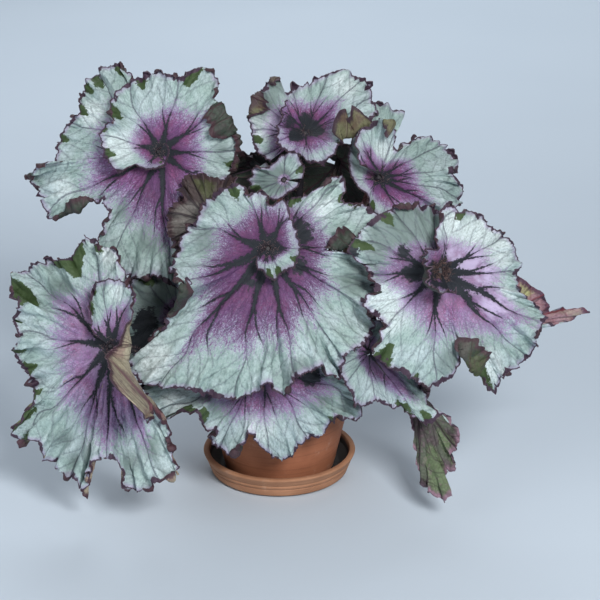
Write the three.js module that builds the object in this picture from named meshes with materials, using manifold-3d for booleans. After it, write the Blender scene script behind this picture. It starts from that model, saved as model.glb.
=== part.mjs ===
// A rex begonia with spiral leaves, growing in a plain clay pot on a clay saucer.
//
// Units are millimetres, and +Z is up. The origin is the centre of the saucer's underside, and the
// plant's front faces -Y. Every piece is a closed solid of its own: saucer, pot, soil, and for each
// leaf a blade and a stalk. A blade is a sheet that winds round the top of its stalk by more than a
// full turn, so its first lobe lies over its last one.
//
// A leaf that the photograph shows has its margin measured there, as rows of
//   [across, down, tilt, curl]
// where across and down are pixels of the 600 x 600 photograph, tilt is how steeply the blade leaves
// the hub in degrees, and curl is how much it bends toward its upper side before the margin. A row
// whose curl is past FOLD_BACK folds over, and its pixel is then the outer edge of the fold.

import * as THREE from "three";
import Module from "manifold-3d";
import { mergeVertices } from "three/addons/utils/BufferGeometryUtils.js";

const wasm = await Module();
wasm.setup();

// ---- Clay pot and saucer --------------------------------------------------------------------

const SAUCER = {
  radius: 75.5,
  footRadius: 64,
  height: 23,
  wall: 6,
  floor: 6,
  lip: 2.6,
  grooveDepth: 0.7,
  grooveHeights: [9.5, 14],
};
const POT = {
  baseRadius: 54,
  slope: 0.225,
  height: 128,
  wall: 6.5,
  floor: 9,
  collarHeight: 26,
  collarStep: 5,
  drainRadius: 8,
};
const SEAT_GAP = 0.3;
const ROUND_SIDES = 40;

// ---- Soil and stalks --------------------------------------------------------------------------

const SOIL_DEPTH_BELOW_RIM = 11;
const STALK_RADIUS = 3.6;
const STALK_SIDES = 6;
const STALK_STEPS = 15;
const FOOT_RISE = 11;
const HOLE_DEPTH = 12;
const HOLE_CLEARANCE = 0.7;
const HOLE_SIDES = 8;

// ---- Blades -------------------------------------------------------------------------------------

const BLADE_THICKNESS = 1.3;
const RING_FRACTIONS = [0, 0.34, 0.7];
const SHORTEST_SPOKE = 12;
const TOOTH_DEPTH = 2.2;
const TOOTH_SPAN = 16;
const LEAST_TURN = 2;
const BEND_FROM = 0.25;
const BEND_SPAN = 0.6;
const PROFILE_STEPS = 16;
const FOLD_BACK = 80;

// ---- The photograph's camera --------------------------------------------------------------------

const CAMERA = {
  place: new THREE.Vector3(20.5, -1799.6, 888.4),
  pitch: 21.5,
  focal: 2000,
  centre: 300,
};

// ---- Leaves that the photograph shows -----------------------------------------------------------
// hub: pixel of the stalk's top. depth: the hub's Y in mm. faces: [azimuth, elevation] of the upper
// side, azimuth 0 toward the viewer and 90 to the right. hand: 1 winds anticlockwise, -1 clockwise.
// coil: mm that the sheet drops in one turn. foot: [x, y] of the stalk in the soil. way: points that
// the stalk passes, in mm.

const SHOWN_LEAVES = [
  {
    name: "leaf_01", hub: [268, 249], depth: -95, faces: [0, 30], hand: 1, coil: 9,
    foot: [-6, -34], way: [[-8, -58, 200]],
    margin: [
      [256, 258, 25, 10], [262, 272, 18, 10], [273, 279, 14, 8], [284, 273, 12, 0], [299, 258, 10, 0],
      [299, 240, 8, 0], [290, 218, 4, 5], [284, 200, 2, 0], [271, 205, 0, 10], [263, 193, 0, -10],
      [249, 195, 0, 5], [239, 184, 0, -15], [213, 194, -2, -20], [200, 216, -3, -15], [181, 243, -4, -25],
      [176, 261, -4, -20], [176, 276, 0, 50], [182, 291, 0, 60], [174, 306, -3, 20], [152, 326, -5, -15],
      [133, 346, -5, -25], [129, 370, -5, -25], [146, 384, -5, -20], [190, 390, -5, -15], [232, 398, -6, -20],
      [260, 391, -6, -10], [271, 384, -6, 5], [285, 396, -6, -15], [291, 381, -6, 10], [322, 366, -6, 10],
      [338, 378, -7, -20], [343, 357, -7, 5], [376, 326, -8, -25], [364, 304, -8, 0], [376, 292, -8, -20],
      [365, 262, -7, -10], [342, 247, -6, 25], [377, 223, -8, -15], [361, 203, -6, -10], [344, 203, -5, 10],
      [342, 175, -4, -15], [318, 188, -4, 0], [299, 197, -4, 0], [287, 200, -5, 0],
    ],
  },
  {
    name: "leaf_02", hub: [160, 152], depth: -5, faces: [-10, 20], hand: -1, coil: 9,
    foot: [-30, 2], way: [[-62, 14, 210]],
    margin: [
      [165, 144, 15, 10], [168, 157, 20, 10], [160, 168, 20, 10], [148, 169, 15, 10], [137, 166, 12, 5],
      [119, 170, 10, 0], [107, 160, 8, 5], [102, 146, 6, 0], [101, 130, 5, -5], [112, 121, 4, 15],
      [111, 102, 2, -10], [128, 82, 0, -10], [151, 75, 0, -15], [180, 78, 0, 15], [202, 66, 0, -20],
      [220, 84, -4, -25], [211, 97, -4, 15], [231, 119, -4, 110], [238, 140, -6, -15], [234, 164, -6, -20],
      [222, 181, -6, -15], [198, 176, -4, 15], [182, 188, -4, 0], [168, 214, -2, 10], [176, 240, -3, -10],
      [177, 289, -3, -15], [154, 270, -4, 0], [130, 267, -4, -10], [121, 250, -4, 0], [101, 241, -5, -15],
      [119, 221, -4, 10], [103, 204, -5, 0], [78, 200, -6, 90], [50, 218, -8, 90], [40, 190, -8, -10],
      [28, 179, -8, -25], [47, 163, -7, 0], [57, 155, -7, -15], [62, 132, -7, -20], [78, 114, -7, -10],
      [88, 82, -7, -25], [120, 65, -6, -20], [134, 80, -6, 0], [150, 95, -6, 0],
    ],
  },
  {
    name: "leaf_03", hub: [305, 134], depth: 5, faces: [4, 34], hand: 1, coil: 10,
    foot: [6, 6], way: [[16, 30, 230]],
    margin: [
      [287, 99, 35, -20], [281, 118, 40, -15], [277, 138, 45, -30], [283, 151, 45, -40], [296, 152, 45, -35],
      [312, 163, 45, -40], [326, 161, 45, -40], [336, 146, 50, -30], [334, 130, 45, 10], [348, 115, 32, 50],
      [368, 110, 15, 40], [372, 101, -5, -20], [364, 80, -10, -10], [343, 70, -10, -10], [320, 78, -10, 0],
      [301, 86, -8, 0], [286, 93, -5, 0], [277, 78, -5, 15], [258, 95, -6, 60], [249, 118, -8, 10],
      [252, 133, -8, -10], [254, 147, -8, 0], [270, 161, -8, -10],
    ],
  },
  {
    name: "leaf_04", hub: [378, 178], depth: -30, faces: [24, 30], hand: -1, coil: 10,
    foot: [24, 4], way: [[62, 6, 220]],
    margin: [
      [366, 166, 25, 10], [356, 151, 20, 0], [359, 132, 12, 0], [374, 122, 10, 0], [386, 120, 5, 60],
      [396, 135, 5, 30], [396, 149, 10, 0], [413, 140, -5, -10], [429, 137, -8, -15], [447, 149, -8, -20],
      [458, 166, -8, -20], [452, 172, -8, 0], [462, 193, -10, -20], [460, 205, -10, -15], [448, 205, -10, 0],
      [440, 219, -12, -20], [419, 209, -10, 10], [396, 221, -10, -15], [376, 214, -10, -10], [366, 194, -8, 0],
      [350, 172, -8, -10], [352, 140, -10, -15], [362, 115, -10, -10], [379, 104, -10, -20], [403, 115, -10, -10],
    ],
  },
  {
    name: "leaf_05", hub: [439, 272], depth: -112, faces: [12, 26], hand: -1, coil: 10,
    foot: [34, -18], way: [[86, -48, 190]],
    margin: [
      [457, 289, 35, 60], [446, 292, 30, 60], [430, 284, 30, 60], [429, 270, 40, 50], [436, 248, 25, 10],
      [440, 222, 8, 0], [451, 205, 2, -10], [458, 213, 0, 5], [468, 209, -2, -10], [489, 226, -4, -15],
      [503, 236, -4, -20], [518, 258, -5, -20], [516, 288, -5, -10], [545, 317, -5, -15], [536, 334, -5, 5],
      [541, 341, -5, -15], [522, 364, -6, -20], [503, 375, -6, -10], [494, 392, -6, -20], [494, 352, -5, 10],
      [482, 374, -4, 120], [468, 361, -5, 10], [457, 373, -6, -20], [433, 386, -6, -20], [405, 375, -6, -15],
      [372, 353, -6, -15], [383, 330, -5, 5], [397, 328, -4, 10], [380, 322, -5, -10], [362, 303, -5, -15],
      [375, 299, -5, 0], [375, 285, -5, -10], [364, 262, -5, -15], [374, 250, -5, 10], [363, 233, -5, -20],
      [381, 225, -5, 0], [400, 212, -7, 0], [425, 206, -9, 0], [446, 214, -9, 0],
    ],
  },
  {
    name: "leaf_06", hub: [111, 346], depth: -104, faces: [-12, 24], hand: -1, coil: 10,
    foot: [-36, -26], way: [[-84, -62, 143]],
    margin: [
      [98, 337, 25, 10], [90, 316, 15, 0], [90, 301, 10, 0], [98, 281, 8, 0], [120, 280, 8, -5],
      [131, 290, 10, 10], [134, 312, 20, 20], [135, 338, 45, 90], [134, 358, 40, 100], [133, 378, 35, 100],
      [142, 398, 25, 90], [148, 408, 15, 40], [158, 412, 0, 10], [169, 444, -4, -10], [177, 475, -6, -15],
      [158, 482, -6, 0], [137, 490, -6, -15], [146, 476, -5, 0], [130, 460, -5, 5], [102, 458, -5, 10],
      [90, 471, -5, 0], [95, 500, -7, -15], [74, 477, -6, -10], [45, 458, -6, -15], [38, 443, -5, -5],
      [11, 434, -6, -20], [28, 424, -5, -10], [36, 404, -4, -5], [33, 381, -4, -15], [13, 350, -5, -20],
      [20, 337, -4, 0], [14, 320, -4, -20], [19, 304, -4, 0], [11, 279, -6, -20], [43, 263, -6, -20],
      [70, 257, -5, -5], [87, 238, -6, -20], [99, 246, -6, 0], [119, 254, -6, -10], [124, 272, -6, 0],
      [136, 300, -8, 0],
    ],
  },
  {
    name: "leaf_07", hub: [262, 362], depth: -97, faces: [5, 12], hand: -1, coil: 9,
    foot: [-8, -56], way: [],
    margin: [
      [240, 345, 10, 5], [262, 328, 5, 0], [300, 335, 5, 0], [335, 360, 2, 0], [350, 384, 0, -10],
      [359, 420, -3, -20], [336, 414, -3, 0], [325, 432, -4, -15], [300, 443, -4, -10], [290, 458, -5, -20],
      [262, 448, -4, -10], [250, 433, -4, 10], [240, 444, -4, 0], [236, 456, -5, -15], [211, 440, -5, -10],
      [218, 433, -4, 5], [204, 426, -4, -5], [196, 412, -3, 15], [181, 420, -4, -10], [169, 428, -5, -15],
      [160, 395, -4, -10], [168, 362, -4, -10], [200, 330, -6, -10], [245, 318, -6, -10],
    ],
  },
  {
    name: "leaf_08", hub: [368, 352], depth: -96, faces: [18, 16], hand: 1, coil: 9,
    foot: [30, -42], way: [],
    margin: [
      [352, 336, 10, 5], [340, 356, 8, 0], [342, 378, 4, -5], [350, 391, 0, -10], [361, 406, -2, -15],
      [376, 401, -2, 0], [390, 406, -3, -15], [406, 410, 0, -5], [412, 424, 4, 0], [424, 428, 5, 0],
      [439, 416, 4, 0], [430, 403, 0, 0], [418, 385, -5, -5], [414, 360, -5, -10], [400, 335, -5, -10],
      [378, 320, -6, -10], [355, 322, -7, -5],
    ],
  },
  {
    name: "leaf_09", hub: [416, 392], depth: -50, faces: [165, -34], hand: -1, coil: 8,
    foot: [42, -28], way: [[88, -44, 147]],
    margin: [
      [430, 392, 5, 0], [420, 375, 0, 0], [402, 385, 0, 0], [406, 410, 0, 0], [415, 432, 0, 10], [414, 452, 0, 10], [421, 472, 0, 5],
      [437, 497, 0, -5], [446, 501, 0, -10], [444, 484, 0, 0], [443, 471, 0, 5], [454, 468, 0, 10],
      [453, 460, 0, 5], [443, 458, 0, -5], [457, 446, 0, 15], [460, 430, 0, 15], [452, 423, 0, 5],
      [441, 404, -5, 0],
    ],
  },
  {
    name: "leaf_10", hub: [490, 330], depth: -60, faces: [186, -10], hand: 1, coil: 8,
    foot: [48, -6], way: [[124, -66, 172]],
    margin: [
      [488, 308, 5, 0], [500, 292, 0, 0], [514, 274, 0, 0], [530, 285, 0, 5], [545, 296, 0, 10],
      [553, 306, 0, 10], [563, 300, 0, 10], [578, 301, 0, 0], [592, 305, 0, -10], [580, 312, 0, 0],
      [567, 323, 0, 10], [546, 321, 0, 10], [522, 340, 0, 0], [505, 352, -5, 0], [484, 350, -5, 0],
      [472, 335, -5, 0], [478, 312, -5, 0],
    ],
  },
  {
    name: "leaf_11", hub: [178, 318], depth: -44, faces: [-15, 25], hand: -1, coil: 8,
    foot: [-44, -8], way: [],
    margin: [
      [176, 308, 10, 0], [190, 300, 8, 0], [200, 312, 5, 0], [197, 330, 0, 0], [185, 345, -2, -10],
      [160, 345, -4, -15], [140, 330, -4, -15], [130, 300, -4, -10], [139, 272, -4, 10], [150, 266, -4, -10],
      [170, 286, -5, 10], [178, 296, -6, 0],
    ],
  },
  {
    name: "leaf_12", hub: [284, 180], depth: -52, faces: [-6, 26], hand: -1, coil: 8,
    foot: [8, -16], way: [],
    margin: [
      [300, 183, 10, 10], [290, 192, 8, 0], [275, 200, 5, 0], [262, 198, 0, -10], [251, 190, 0, -15],
      [250, 178, 0, -10], [256, 165, 0, 0], [268, 168, 0, 10], [277, 160, -2, -10], [292, 151, -4, -10],
      [302, 162, -5, -10], [303, 178, -6, 0],
    ],
  },
  {
    name: "leaf_13", hub: [212, 222], depth: -44, faces: [172, -20], hand: -1, coil: 8,
    foot: [-18, -14], way: [],
    margin: [
      [222, 235, 5, 0], [232, 215, 0, 0], [234, 190, 0, 0], [236, 176, 0, 5], [222, 180, 0, 10], [205, 175, 0, 0],
      [184, 178, 0, 10], [184, 198, 0, 0], [168, 214, 0, 10], [180, 226, 0, 0], [189, 234, 0, 5],
      [205, 240, -5, 0],
    ],
  },
];

// ---- Leaves on the far side ---------------------------------------------------------------------
// hub is in mm here. They share one margin: rows of [turned degrees, reach, tilt, curl], where the
// reach is a share of the leaf's size.

const FAR_LEAVES = [
  { name: "leaf_14", hub: [0, 104, 272], faces: [180, 28], hand: 1, coil: 9, size: 76, foot: [2, 30], way: [] },
  { name: "leaf_15", hub: [126, 60, 244], faces: [112, 24], hand: -1, coil: 9, size: 78, foot: [36, 24], way: [] },
  { name: "leaf_16", hub: [-124, 58, 226], faces: [-114, 22], hand: 1, coil: 9, size: 76, foot: [-34, 22], way: [] },
  { name: "leaf_17", hub: [62, 108, 158], faces: [150, 12], hand: -1, coil: 9, size: 60, foot: [22, 46], way: [] },
  { name: "leaf_18", hub: [-62, 106, 154], faces: [-152, 12], hand: 1, coil: 9, size: 60, foot: [-22, 46], way: [] },
  { name: "leaf_19", hub: [58, 54, 304], faces: [158, 40], hand: 1, coil: 9, size: 60, foot: [22, 16], way: [] },
  { name: "leaf_20", hub: [-52, 54, 292], faces: [-156, 38], hand: -1, coil: 9, size: 56, foot: [-16, 16], way: [] },
];
const FAR_START = -150;
const FAR_MARGIN = [
  [0, 0.12, 20, 10], [40, 0.22, 15, 5], [80, 0.26, 12, 0], [120, 0.34, 8, 0], [160, 0.46, 5, 0],
  [190, 0.54, 2, -10], [210, 0.50, 0, 5], [235, 0.66, 0, -15], [258, 0.60, -2, 5], [285, 0.76, -4, -20],
  [305, 0.68, -4, 5], [330, 0.90, -5, -20], [352, 0.82, -5, 5], [376, 1.12, -6, -20], [396, 1.02, -6, 0],
  [418, 1.28, -6, -25], [440, 1.04, -6, 0], [462, 1.10, -6, -20], [484, 0.84, -6, 5], [508, 0.92, -6, -20],
  [530, 0.72, -6, 0], [552, 0.78, -6, -15],
];

// ---- Finishes -------------------------------------------------------------------------------------

const CLAY = { color: 0xa0684a, roughness: 0.9 };
const EARTH = { color: 0x2e2219, roughness: 1 };
const LEAF = { color: 0xa9b9ac, roughness: 0.55 };
const STALK = { color: 0x6f3b40, roughness: 0.6 };

/** A closed mesh with its own material. */
function piece(name, geometry, finish) {
  const mesh = new THREE.Mesh(geometry, new THREE.MeshStandardMaterial(finish));
  mesh.name = name;
  return mesh;
}

// ---- Between three.js and the solid kernel --------------------------------------------------------

/** The solid of a closed three.js geometry. */
function toSolid(geometry) {
  const bare = new THREE.BufferGeometry();
  bare.setAttribute("position", geometry.getAttribute("position"));
  if (geometry.index) bare.setIndex(geometry.index);
  const welded = mergeVertices(bare, 1e-4);
  const mesh = new wasm.Mesh({
    numProp: 3,
    vertProperties: new Float32Array(welded.getAttribute("position").array),
    triVerts: new Uint32Array(welded.index.array),
  });
  return new wasm.Manifold(mesh);
}

/** The three.js geometry of a solid. */
function toGeometry(solid) {
  const mesh = solid.getMesh();
  const geometry = new THREE.BufferGeometry();
  geometry.setAttribute("position", new THREE.BufferAttribute(new Float32Array(mesh.vertProperties), 3));
  geometry.setIndex(new THREE.BufferAttribute(new Uint32Array(mesh.triVerts), 1));
  geometry.computeVertexNormals();
  return geometry;
}

/** A turned solid about +Z from a profile of [radius, height] that starts and ends on the axis. */
function turned(profile, sides = ROUND_SIDES) {
  const points = profile.map(([radius, height]) => new THREE.Vector2(radius, height));
  const geometry = new THREE.LatheGeometry(points, sides);
  geometry.rotateX(Math.PI / 2);
  return geometry;
}

/** An upright cylinder from one height up to another. */
function upright(radius, sides, x, y, from, to) {
  const geometry = new THREE.CylinderGeometry(radius, radius, to - from, sides);
  geometry.rotateX(Math.PI / 2);
  geometry.translate(x, y, (from + to) / 2);
  return geometry;
}

// ---- Saucer, pot and soil ---------------------------------------------------------------------------

/** The saucer: a shallow dish with a rounded lip and fine grooves round its wall. */
function saucer() {
  const { radius, footRadius, height, wall, floor, lip, grooveDepth } = SAUCER;
  const flare = (radius - footRadius - 3) / height;
  const outer = (z) => footRadius + 3 + flare * z;
  const profile = [[0, 0], [footRadius, 0], [outer(2.5), 2.5]];
  for (const z of SAUCER.grooveHeights) {
    profile.push([outer(z - 1), z - 1], [outer(z) - grooveDepth, z], [outer(z + 1), z + 1]);
  }
  profile.push([radius - 0.4, height - lip], [radius - 0.2, height - 0.9], [radius - 1.4, height]);
  profile.push([radius - wall + 1.4, height], [radius - wall, height - 1.2]);
  profile.push([footRadius - wall + 4, floor + 3], [footRadius - wall, floor], [0, floor]);
  return piece("saucer", turned(profile), CLAY);
}

const potBottom = SAUCER.floor + SEAT_GAP;
const potTop = potBottom + POT.height;
const soilTop = potTop - SOIL_DEPTH_BELOW_RIM;

/** The pot's outer radius below the collar, at a height above the ground. */
function potRadius(z) {
  return POT.baseRadius + POT.slope * (z - potBottom);
}

/** The clay pot: a tapered wall, a collar round its top and a drain hole in its floor. */
function pot() {
  const collarFoot = potTop - POT.collarHeight;
  const rim = potRadius(potTop) - 0.6 + POT.collarStep - 4;
  const inside = (z) => potRadius(z) - POT.wall;
  const floorTop = potBottom + POT.floor;
  const profile = [
    [POT.drainRadius, potBottom],
    [POT.baseRadius - 1.2, potBottom],
    [POT.baseRadius, potBottom + 1.2],
    [potRadius(collarFoot), collarFoot],
    [potRadius(collarFoot) + POT.collarStep - 1, collarFoot + 1],
    [potRadius(collarFoot) + POT.collarStep, collarFoot + 2.5],
    [rim + 2, potTop - 2],
    [rim + 0.6, potTop],
    [inside(potTop) + 1.6, potTop],
    [inside(potTop), potTop - 1.6],
    [inside(floorTop), floorTop],
    [POT.drainRadius, floorTop],
    [POT.drainRadius, potBottom],
  ];
  const ring = new THREE.LatheGeometry(profile.map(([r, z]) => new THREE.Vector2(r, z)), ROUND_SIDES);
  ring.rotateX(Math.PI / 2);
  return piece("pot", ring, CLAY);
}

/** The soil that fills the pot, with a plain upright hole for each stalk. */
function soil(feet) {
  const inside = (z) => potRadius(z) - POT.wall - SEAT_GAP;
  const bottom = potBottom + POT.floor + SEAT_GAP;
  const profile = [[0, bottom], [inside(bottom), bottom], [inside(soilTop - 2), soilTop - 2]];
  profile.push([inside(soilTop) - 3, soilTop], [0, soilTop]);
  let body = toSolid(turned(profile));
  for (const [x, y] of feet) {
    const hole = upright(STALK_RADIUS + HOLE_CLEARANCE, HOLE_SIDES, x, y, soilTop - HOLE_DEPTH, soilTop + 5);
    body = body.subtract(toSolid(hole));
  }
  return piece("soil", toGeometry(body), EARTH);
}

// ---- Leaf geometry ------------------------------------------------------------------------------------

/** The axes of a leaf: its upper side's normal, and right and up in its plane. */
function leafAxes([azimuth, elevation]) {
  const a = THREE.MathUtils.degToRad(azimuth);
  const e = THREE.MathUtils.degToRad(elevation);
  const normal = new THREE.Vector3(Math.sin(a) * Math.cos(e), -Math.cos(a) * Math.cos(e), Math.sin(e));
  const across = new THREE.Vector3(0, 0, 1).cross(normal).normalize();
  const up = normal.clone().cross(across);
  return { normal, across, up };
}

/** The direction in which the photograph's camera sees a pixel. */
function sightLine([u, v]) {
  const pitch = THREE.MathUtils.degToRad(CAMERA.pitch);
  const right = (u - CAMERA.centre) / CAMERA.focal;
  const up = (CAMERA.centre - v) / CAMERA.focal;
  const y = Math.cos(pitch) + up * Math.sin(pitch);
  const z = -Math.sin(pitch) + up * Math.cos(pitch);
  return new THREE.Vector3(right, y, z);
}

/** The place at a given Y that a pixel shows. */
function placeAtDepth(pixel, y) {
  const line = sightLine(pixel);
  return CAMERA.place.clone().addScaledVector(line, (y - CAMERA.place.y) / line.y);
}

/** How far a spoke of unit length runs outward and rises, from the hub to a share of its length. */
function spokeRun(tilt, curl, share) {
  const steps = Math.max(1, Math.round(PROFILE_STEPS * share));
  let out = 0;
  let rise = 0;
  let farthest = { out: 0, rise: 0 };
  for (let i = 0; i < steps; i += 1) {
    const along = (share * (i + 0.5)) / steps;
    const x = THREE.MathUtils.clamp((along - BEND_FROM) / BEND_SPAN, 0, 1);
    const angle = THREE.MathUtils.degToRad(tilt + curl * x * x * (3 - 2 * x));
    out += (Math.cos(angle) * share) / steps;
    rise += (Math.sin(angle) * share) / steps;
    if (out > farthest.out) farthest = { out, rise };
  }
  return { out, rise, farthest };
}

/** The radius of the spiral's eye, whose sides just clear the stalk that stands in it. */
function eyeRadius(spokes) {
  const steps = spokes.slice(1).map((spoke, i) => spoke.turned - spokes[i].turned);
  const widest = THREE.MathUtils.degToRad(Math.max(...steps));
  return (STALK_RADIUS + SEAT_GAP) / Math.cos(widest / 2);
}

/** How far along a spoke the sheet starts, so that its edge clears the eye. */
function eyeReach(spoke, radius) {
  const tilt = THREE.MathUtils.degToRad(Math.abs(spoke.tilt));
  return (radius + (BLADE_THICKNESS / 2) * Math.sin(tilt)) / Math.cos(tilt);
}

/** How high the winding sheet stands over the hub after a number of turned degrees. */
function coilHeight(leaf, turnedBy, sweep) {
  return (leaf.coil * (sweep / 2 - turnedBy)) / 360;
}

/** The spokes of a leaf that the photograph shows, worked out from its measured margin. */
function spokesFromPhoto(leaf) {
  const { normal, across, up } = leafAxes(leaf.faces);
  const hub = placeAtDepth(leaf.hub, leaf.depth);
  let spokes = leaf.margin.map(([u, v, tilt, curl]) => ({ pixel: [u, v], tilt, curl, turned: 0, length: 40 }));
  for (let pass = 0; pass < 4; pass += 1) {
    const sweep = spokes[spokes.length - 1].turned;
    let before = null;
    spokes = spokes.map((spoke) => {
      const whole = spokeRun(spoke.tilt, spoke.curl, 1);
      const end = spoke.curl > FOLD_BACK ? whole.farthest : whole;
      const line = sightLine(spoke.pixel);
      let length = spoke.length;
      let angle = 0;
      for (let i = 0; i < 12; i += 1) {
        const height = coilHeight(leaf, spoke.turned, sweep) + end.rise * length;
        const base = hub.clone().addScaledVector(normal, height);
        const reach = base.clone().sub(CAMERA.place).dot(normal) / line.dot(normal);
        const flat = CAMERA.place.clone().addScaledVector(line, reach).sub(base);
        angle = THREE.MathUtils.radToDeg(Math.atan2(flat.dot(up), flat.dot(across)));
        length = Math.max(flat.length() / end.out, SHORTEST_SPOKE);
      }
      let turned = 0;
      if (before) {
        turned = leaf.hand * (angle - before.angle);
        turned = THREE.MathUtils.euclideanModulo(turned + 120, 360) - 120;
        turned = before.turned + Math.max(turned, LEAST_TURN);
        angle = before.angle + leaf.hand * (turned - before.turned);
      }
      before = { angle, turned };
      return { ...spoke, angle, turned, length };
    });
  }
  return { hub, spokes };
}

/** The spokes of a leaf on the far side. */
function spokesFromPattern(leaf) {
  const start = leaf.hand > 0 ? FAR_START : 180 - FAR_START;
  const spokes = FAR_MARGIN.map(([turned, reach, tilt, curl]) => ({
    angle: start + leaf.hand * turned,
    turned,
    length: reach * leaf.size,
    tilt,
    curl,
  }));
  return { hub: new THREE.Vector3(...leaf.hub), spokes };
}

/** A spoke halfway between two others, drawn in a little where it makes a notch between teeth. */
function between(first, second) {
  const mid = {};
  for (const key of ["angle", "turned", "length", "tilt", "curl"]) mid[key] = (first[key] + second[key]) / 2;
  const span = THREE.MathUtils.degToRad(second.turned - first.turned) * mid.length;
  if (span > TOOTH_SPAN) mid.length -= TOOTH_DEPTH;
  return mid;
}

/** The blade of a leaf: its rings of places from the eye of the spiral out to the toothed margin. */
function bladeRings(leaf, { hub, spokes }) {
  const { normal, across, up } = leafAxes(leaf.faces);
  const sweep = spokes[spokes.length - 1].turned;
  const place = (spoke, share) => {
    const run = spokeRun(spoke.tilt, spoke.curl, share);
    const angle = THREE.MathUtils.degToRad(spoke.angle);
    const height = coilHeight(leaf, spoke.turned, sweep) + run.rise * spoke.length;
    const out = run.out * spoke.length;
    const point = hub.clone().addScaledVector(normal, height);
    point.addScaledVector(across, out * Math.cos(angle));
    return point.addScaledVector(up, out * Math.sin(angle));
  };
  const radius = eyeRadius(spokes);
  const ring = (spoke, fraction) => {
    const eye = eyeReach(spoke, radius) / spoke.length;
    return place(spoke, eye + (1 - eye) * fraction);
  };
  const margin = spokes.flatMap((spoke, i) => (i ? [between(spokes[i - 1], spoke), spoke] : [spoke]));
  return [
    ...RING_FRACTIONS.map((fraction) => spokes.map((spoke) => ring(spoke, fraction))),
    margin.map((spoke) => ring(spoke, 1)),
  ];
}

/** Triangles, as index triples, that join two neighbouring rings; the outer may be twice as fine. */
function joinRings(innerStart, innerCount, outerStart, outerCount) {
  const faces = [];
  const fine = outerCount > innerCount;
  for (let i = 0; i + 1 < innerCount; i += 1) {
    const a = innerStart + i;
    const b = a + 1;
    if (fine) {
      const c = outerStart + 2 * i;
      faces.push([a, c, c + 1], [a, c + 1, b], [b, c + 1, c + 2]);
    } else {
      const c = outerStart + i;
      faces.push([a, c, c + 1], [a, c + 1, b]);
    }
  }
  return faces;
}

/** A closed sheet of even thickness over rings of places, alike on both faces. */
function sheet(rings, hand) {
  const middle = rings.flat();
  const starts = [];
  rings.reduce((start, ring) => {
    starts.push(start);
    return start + ring.length;
  }, 0);
  let faces = [];
  for (let r = 0; r + 1 < rings.length; r += 1) {
    faces = faces.concat(joinRings(starts[r], rings[r].length, starts[r + 1], rings[r + 1].length));
  }
  if (hand < 0) faces = faces.map(([a, b, c]) => [a, c, b]);

  const normals = middle.map(() => new THREE.Vector3());
  for (const [a, b, c] of faces) {
    const ab = middle[b].clone().sub(middle[a]);
    const ac = middle[c].clone().sub(middle[a]);
    const face = ab.cross(ac);
    for (const corner of [a, b, c]) normals[corner].add(face);
  }
  const half = BLADE_THICKNESS / 2;
  const top = middle.map((point, i) => point.clone().addScaledVector(normals[i].normalize(), half));
  const bottom = middle.map((point, i) => point.clone().addScaledVector(normals[i], -half));

  const count = middle.length;
  const last = rings.length - 1;
  const rim = [];
  for (let i = 0; i < rings[0].length; i += 1) rim.push(starts[0] + i);
  for (let r = 1; r <= last; r += 1) rim.push(starts[r] + rings[r].length - 1);
  for (let i = rings[last].length - 2; i >= 0; i -= 1) rim.push(starts[last] + i);
  for (let r = last - 1; r > 0; r -= 1) rim.push(starts[r]);

  const triangles = [];
  for (const [a, b, c] of faces) triangles.push([a, b, c], [count + a, count + c, count + b]);
  for (let i = 0; i < rim.length; i += 1) {
    const a = rim[i];
    const b = rim[(i + 1) % rim.length];
    const wall = hand > 0 ? [[a, b, count + b], [a, count + b, count + a]] : [[b, a, count + a], [b, count + a, count + b]];
    triangles.push(...wall);
  }
  const geometry = new THREE.BufferGeometry().setFromPoints([...top, ...bottom]);
  geometry.setIndex(triangles.flat());
  geometry.computeVertexNormals();
  return geometry;
}

/** The stalk: a plain tube from its hole in the soil up into the eye of the blade's spiral. */
function stalkTube(leaf, { hub, spokes }) {
  const { normal } = leafAxes(leaf.faces);
  const sweep = spokes[spokes.length - 1].turned;
  const above = coilHeight(leaf, 0, sweep) + 1;
  const below = coilHeight(leaf, sweep, sweep) - 7;
  const [x, y] = leaf.foot;
  const points = [
    new THREE.Vector3(x, y, soilTop - HOLE_DEPTH + 1),
    new THREE.Vector3(x, y, soilTop + FOOT_RISE),
    ...leaf.way.map((point) => new THREE.Vector3(...point)),
    hub.clone().addScaledVector(normal, below),
    hub.clone().addScaledVector(normal, above),
  ];
  const path = new THREE.CurvePath();
  const bend = new THREE.CatmullRomCurve3(points.slice(1, -1), false, "centripetal");
  path.add(new THREE.LineCurve3(points[0], points[1]));
  path.add(bend);
  path.add(new THREE.LineCurve3(points[points.length - 2], points[points.length - 1]));
  const outline = new THREE.Shape();
  for (let i = 0; i < STALK_SIDES; i += 1) {
    const angle = (2 * Math.PI * i) / STALK_SIDES;
    const corner = [STALK_RADIUS * Math.cos(angle), STALK_RADIUS * Math.sin(angle)];
    if (i) outline.lineTo(...corner);
    else outline.moveTo(...corner);
  }
  outline.closePath();
  return new THREE.ExtrudeGeometry(outline, { steps: STALK_STEPS, bevelEnabled: false, extrudePath: path });
}

/** Both pieces of one leaf. */
function leafPieces(leaf) {
  const form = leaf.margin ? spokesFromPhoto(leaf) : spokesFromPattern(leaf);
  const blade = piece(`${leaf.name}_blade`, sheet(bladeRings(leaf, form), leaf.hand), LEAF);
  const stalk = piece(`${leaf.name}_stalk`, stalkTube(leaf, form), STALK);
  return [blade, stalk];
}

// ---- The whole plant ------------------------------------------------------------------------------------

/** All the pieces in one group. */
function plant() {
  const group = new THREE.Group();
  group.name = "rex_begonia";
  const leaves = [...SHOWN_LEAVES, ...FAR_LEAVES];
  group.add(saucer(), pot(), soil(leaves.map((leaf) => leaf.foot)));
  for (const leaf of leaves) group.add(...leafPieces(leaf));
  return group;
}

export default plant();
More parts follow.
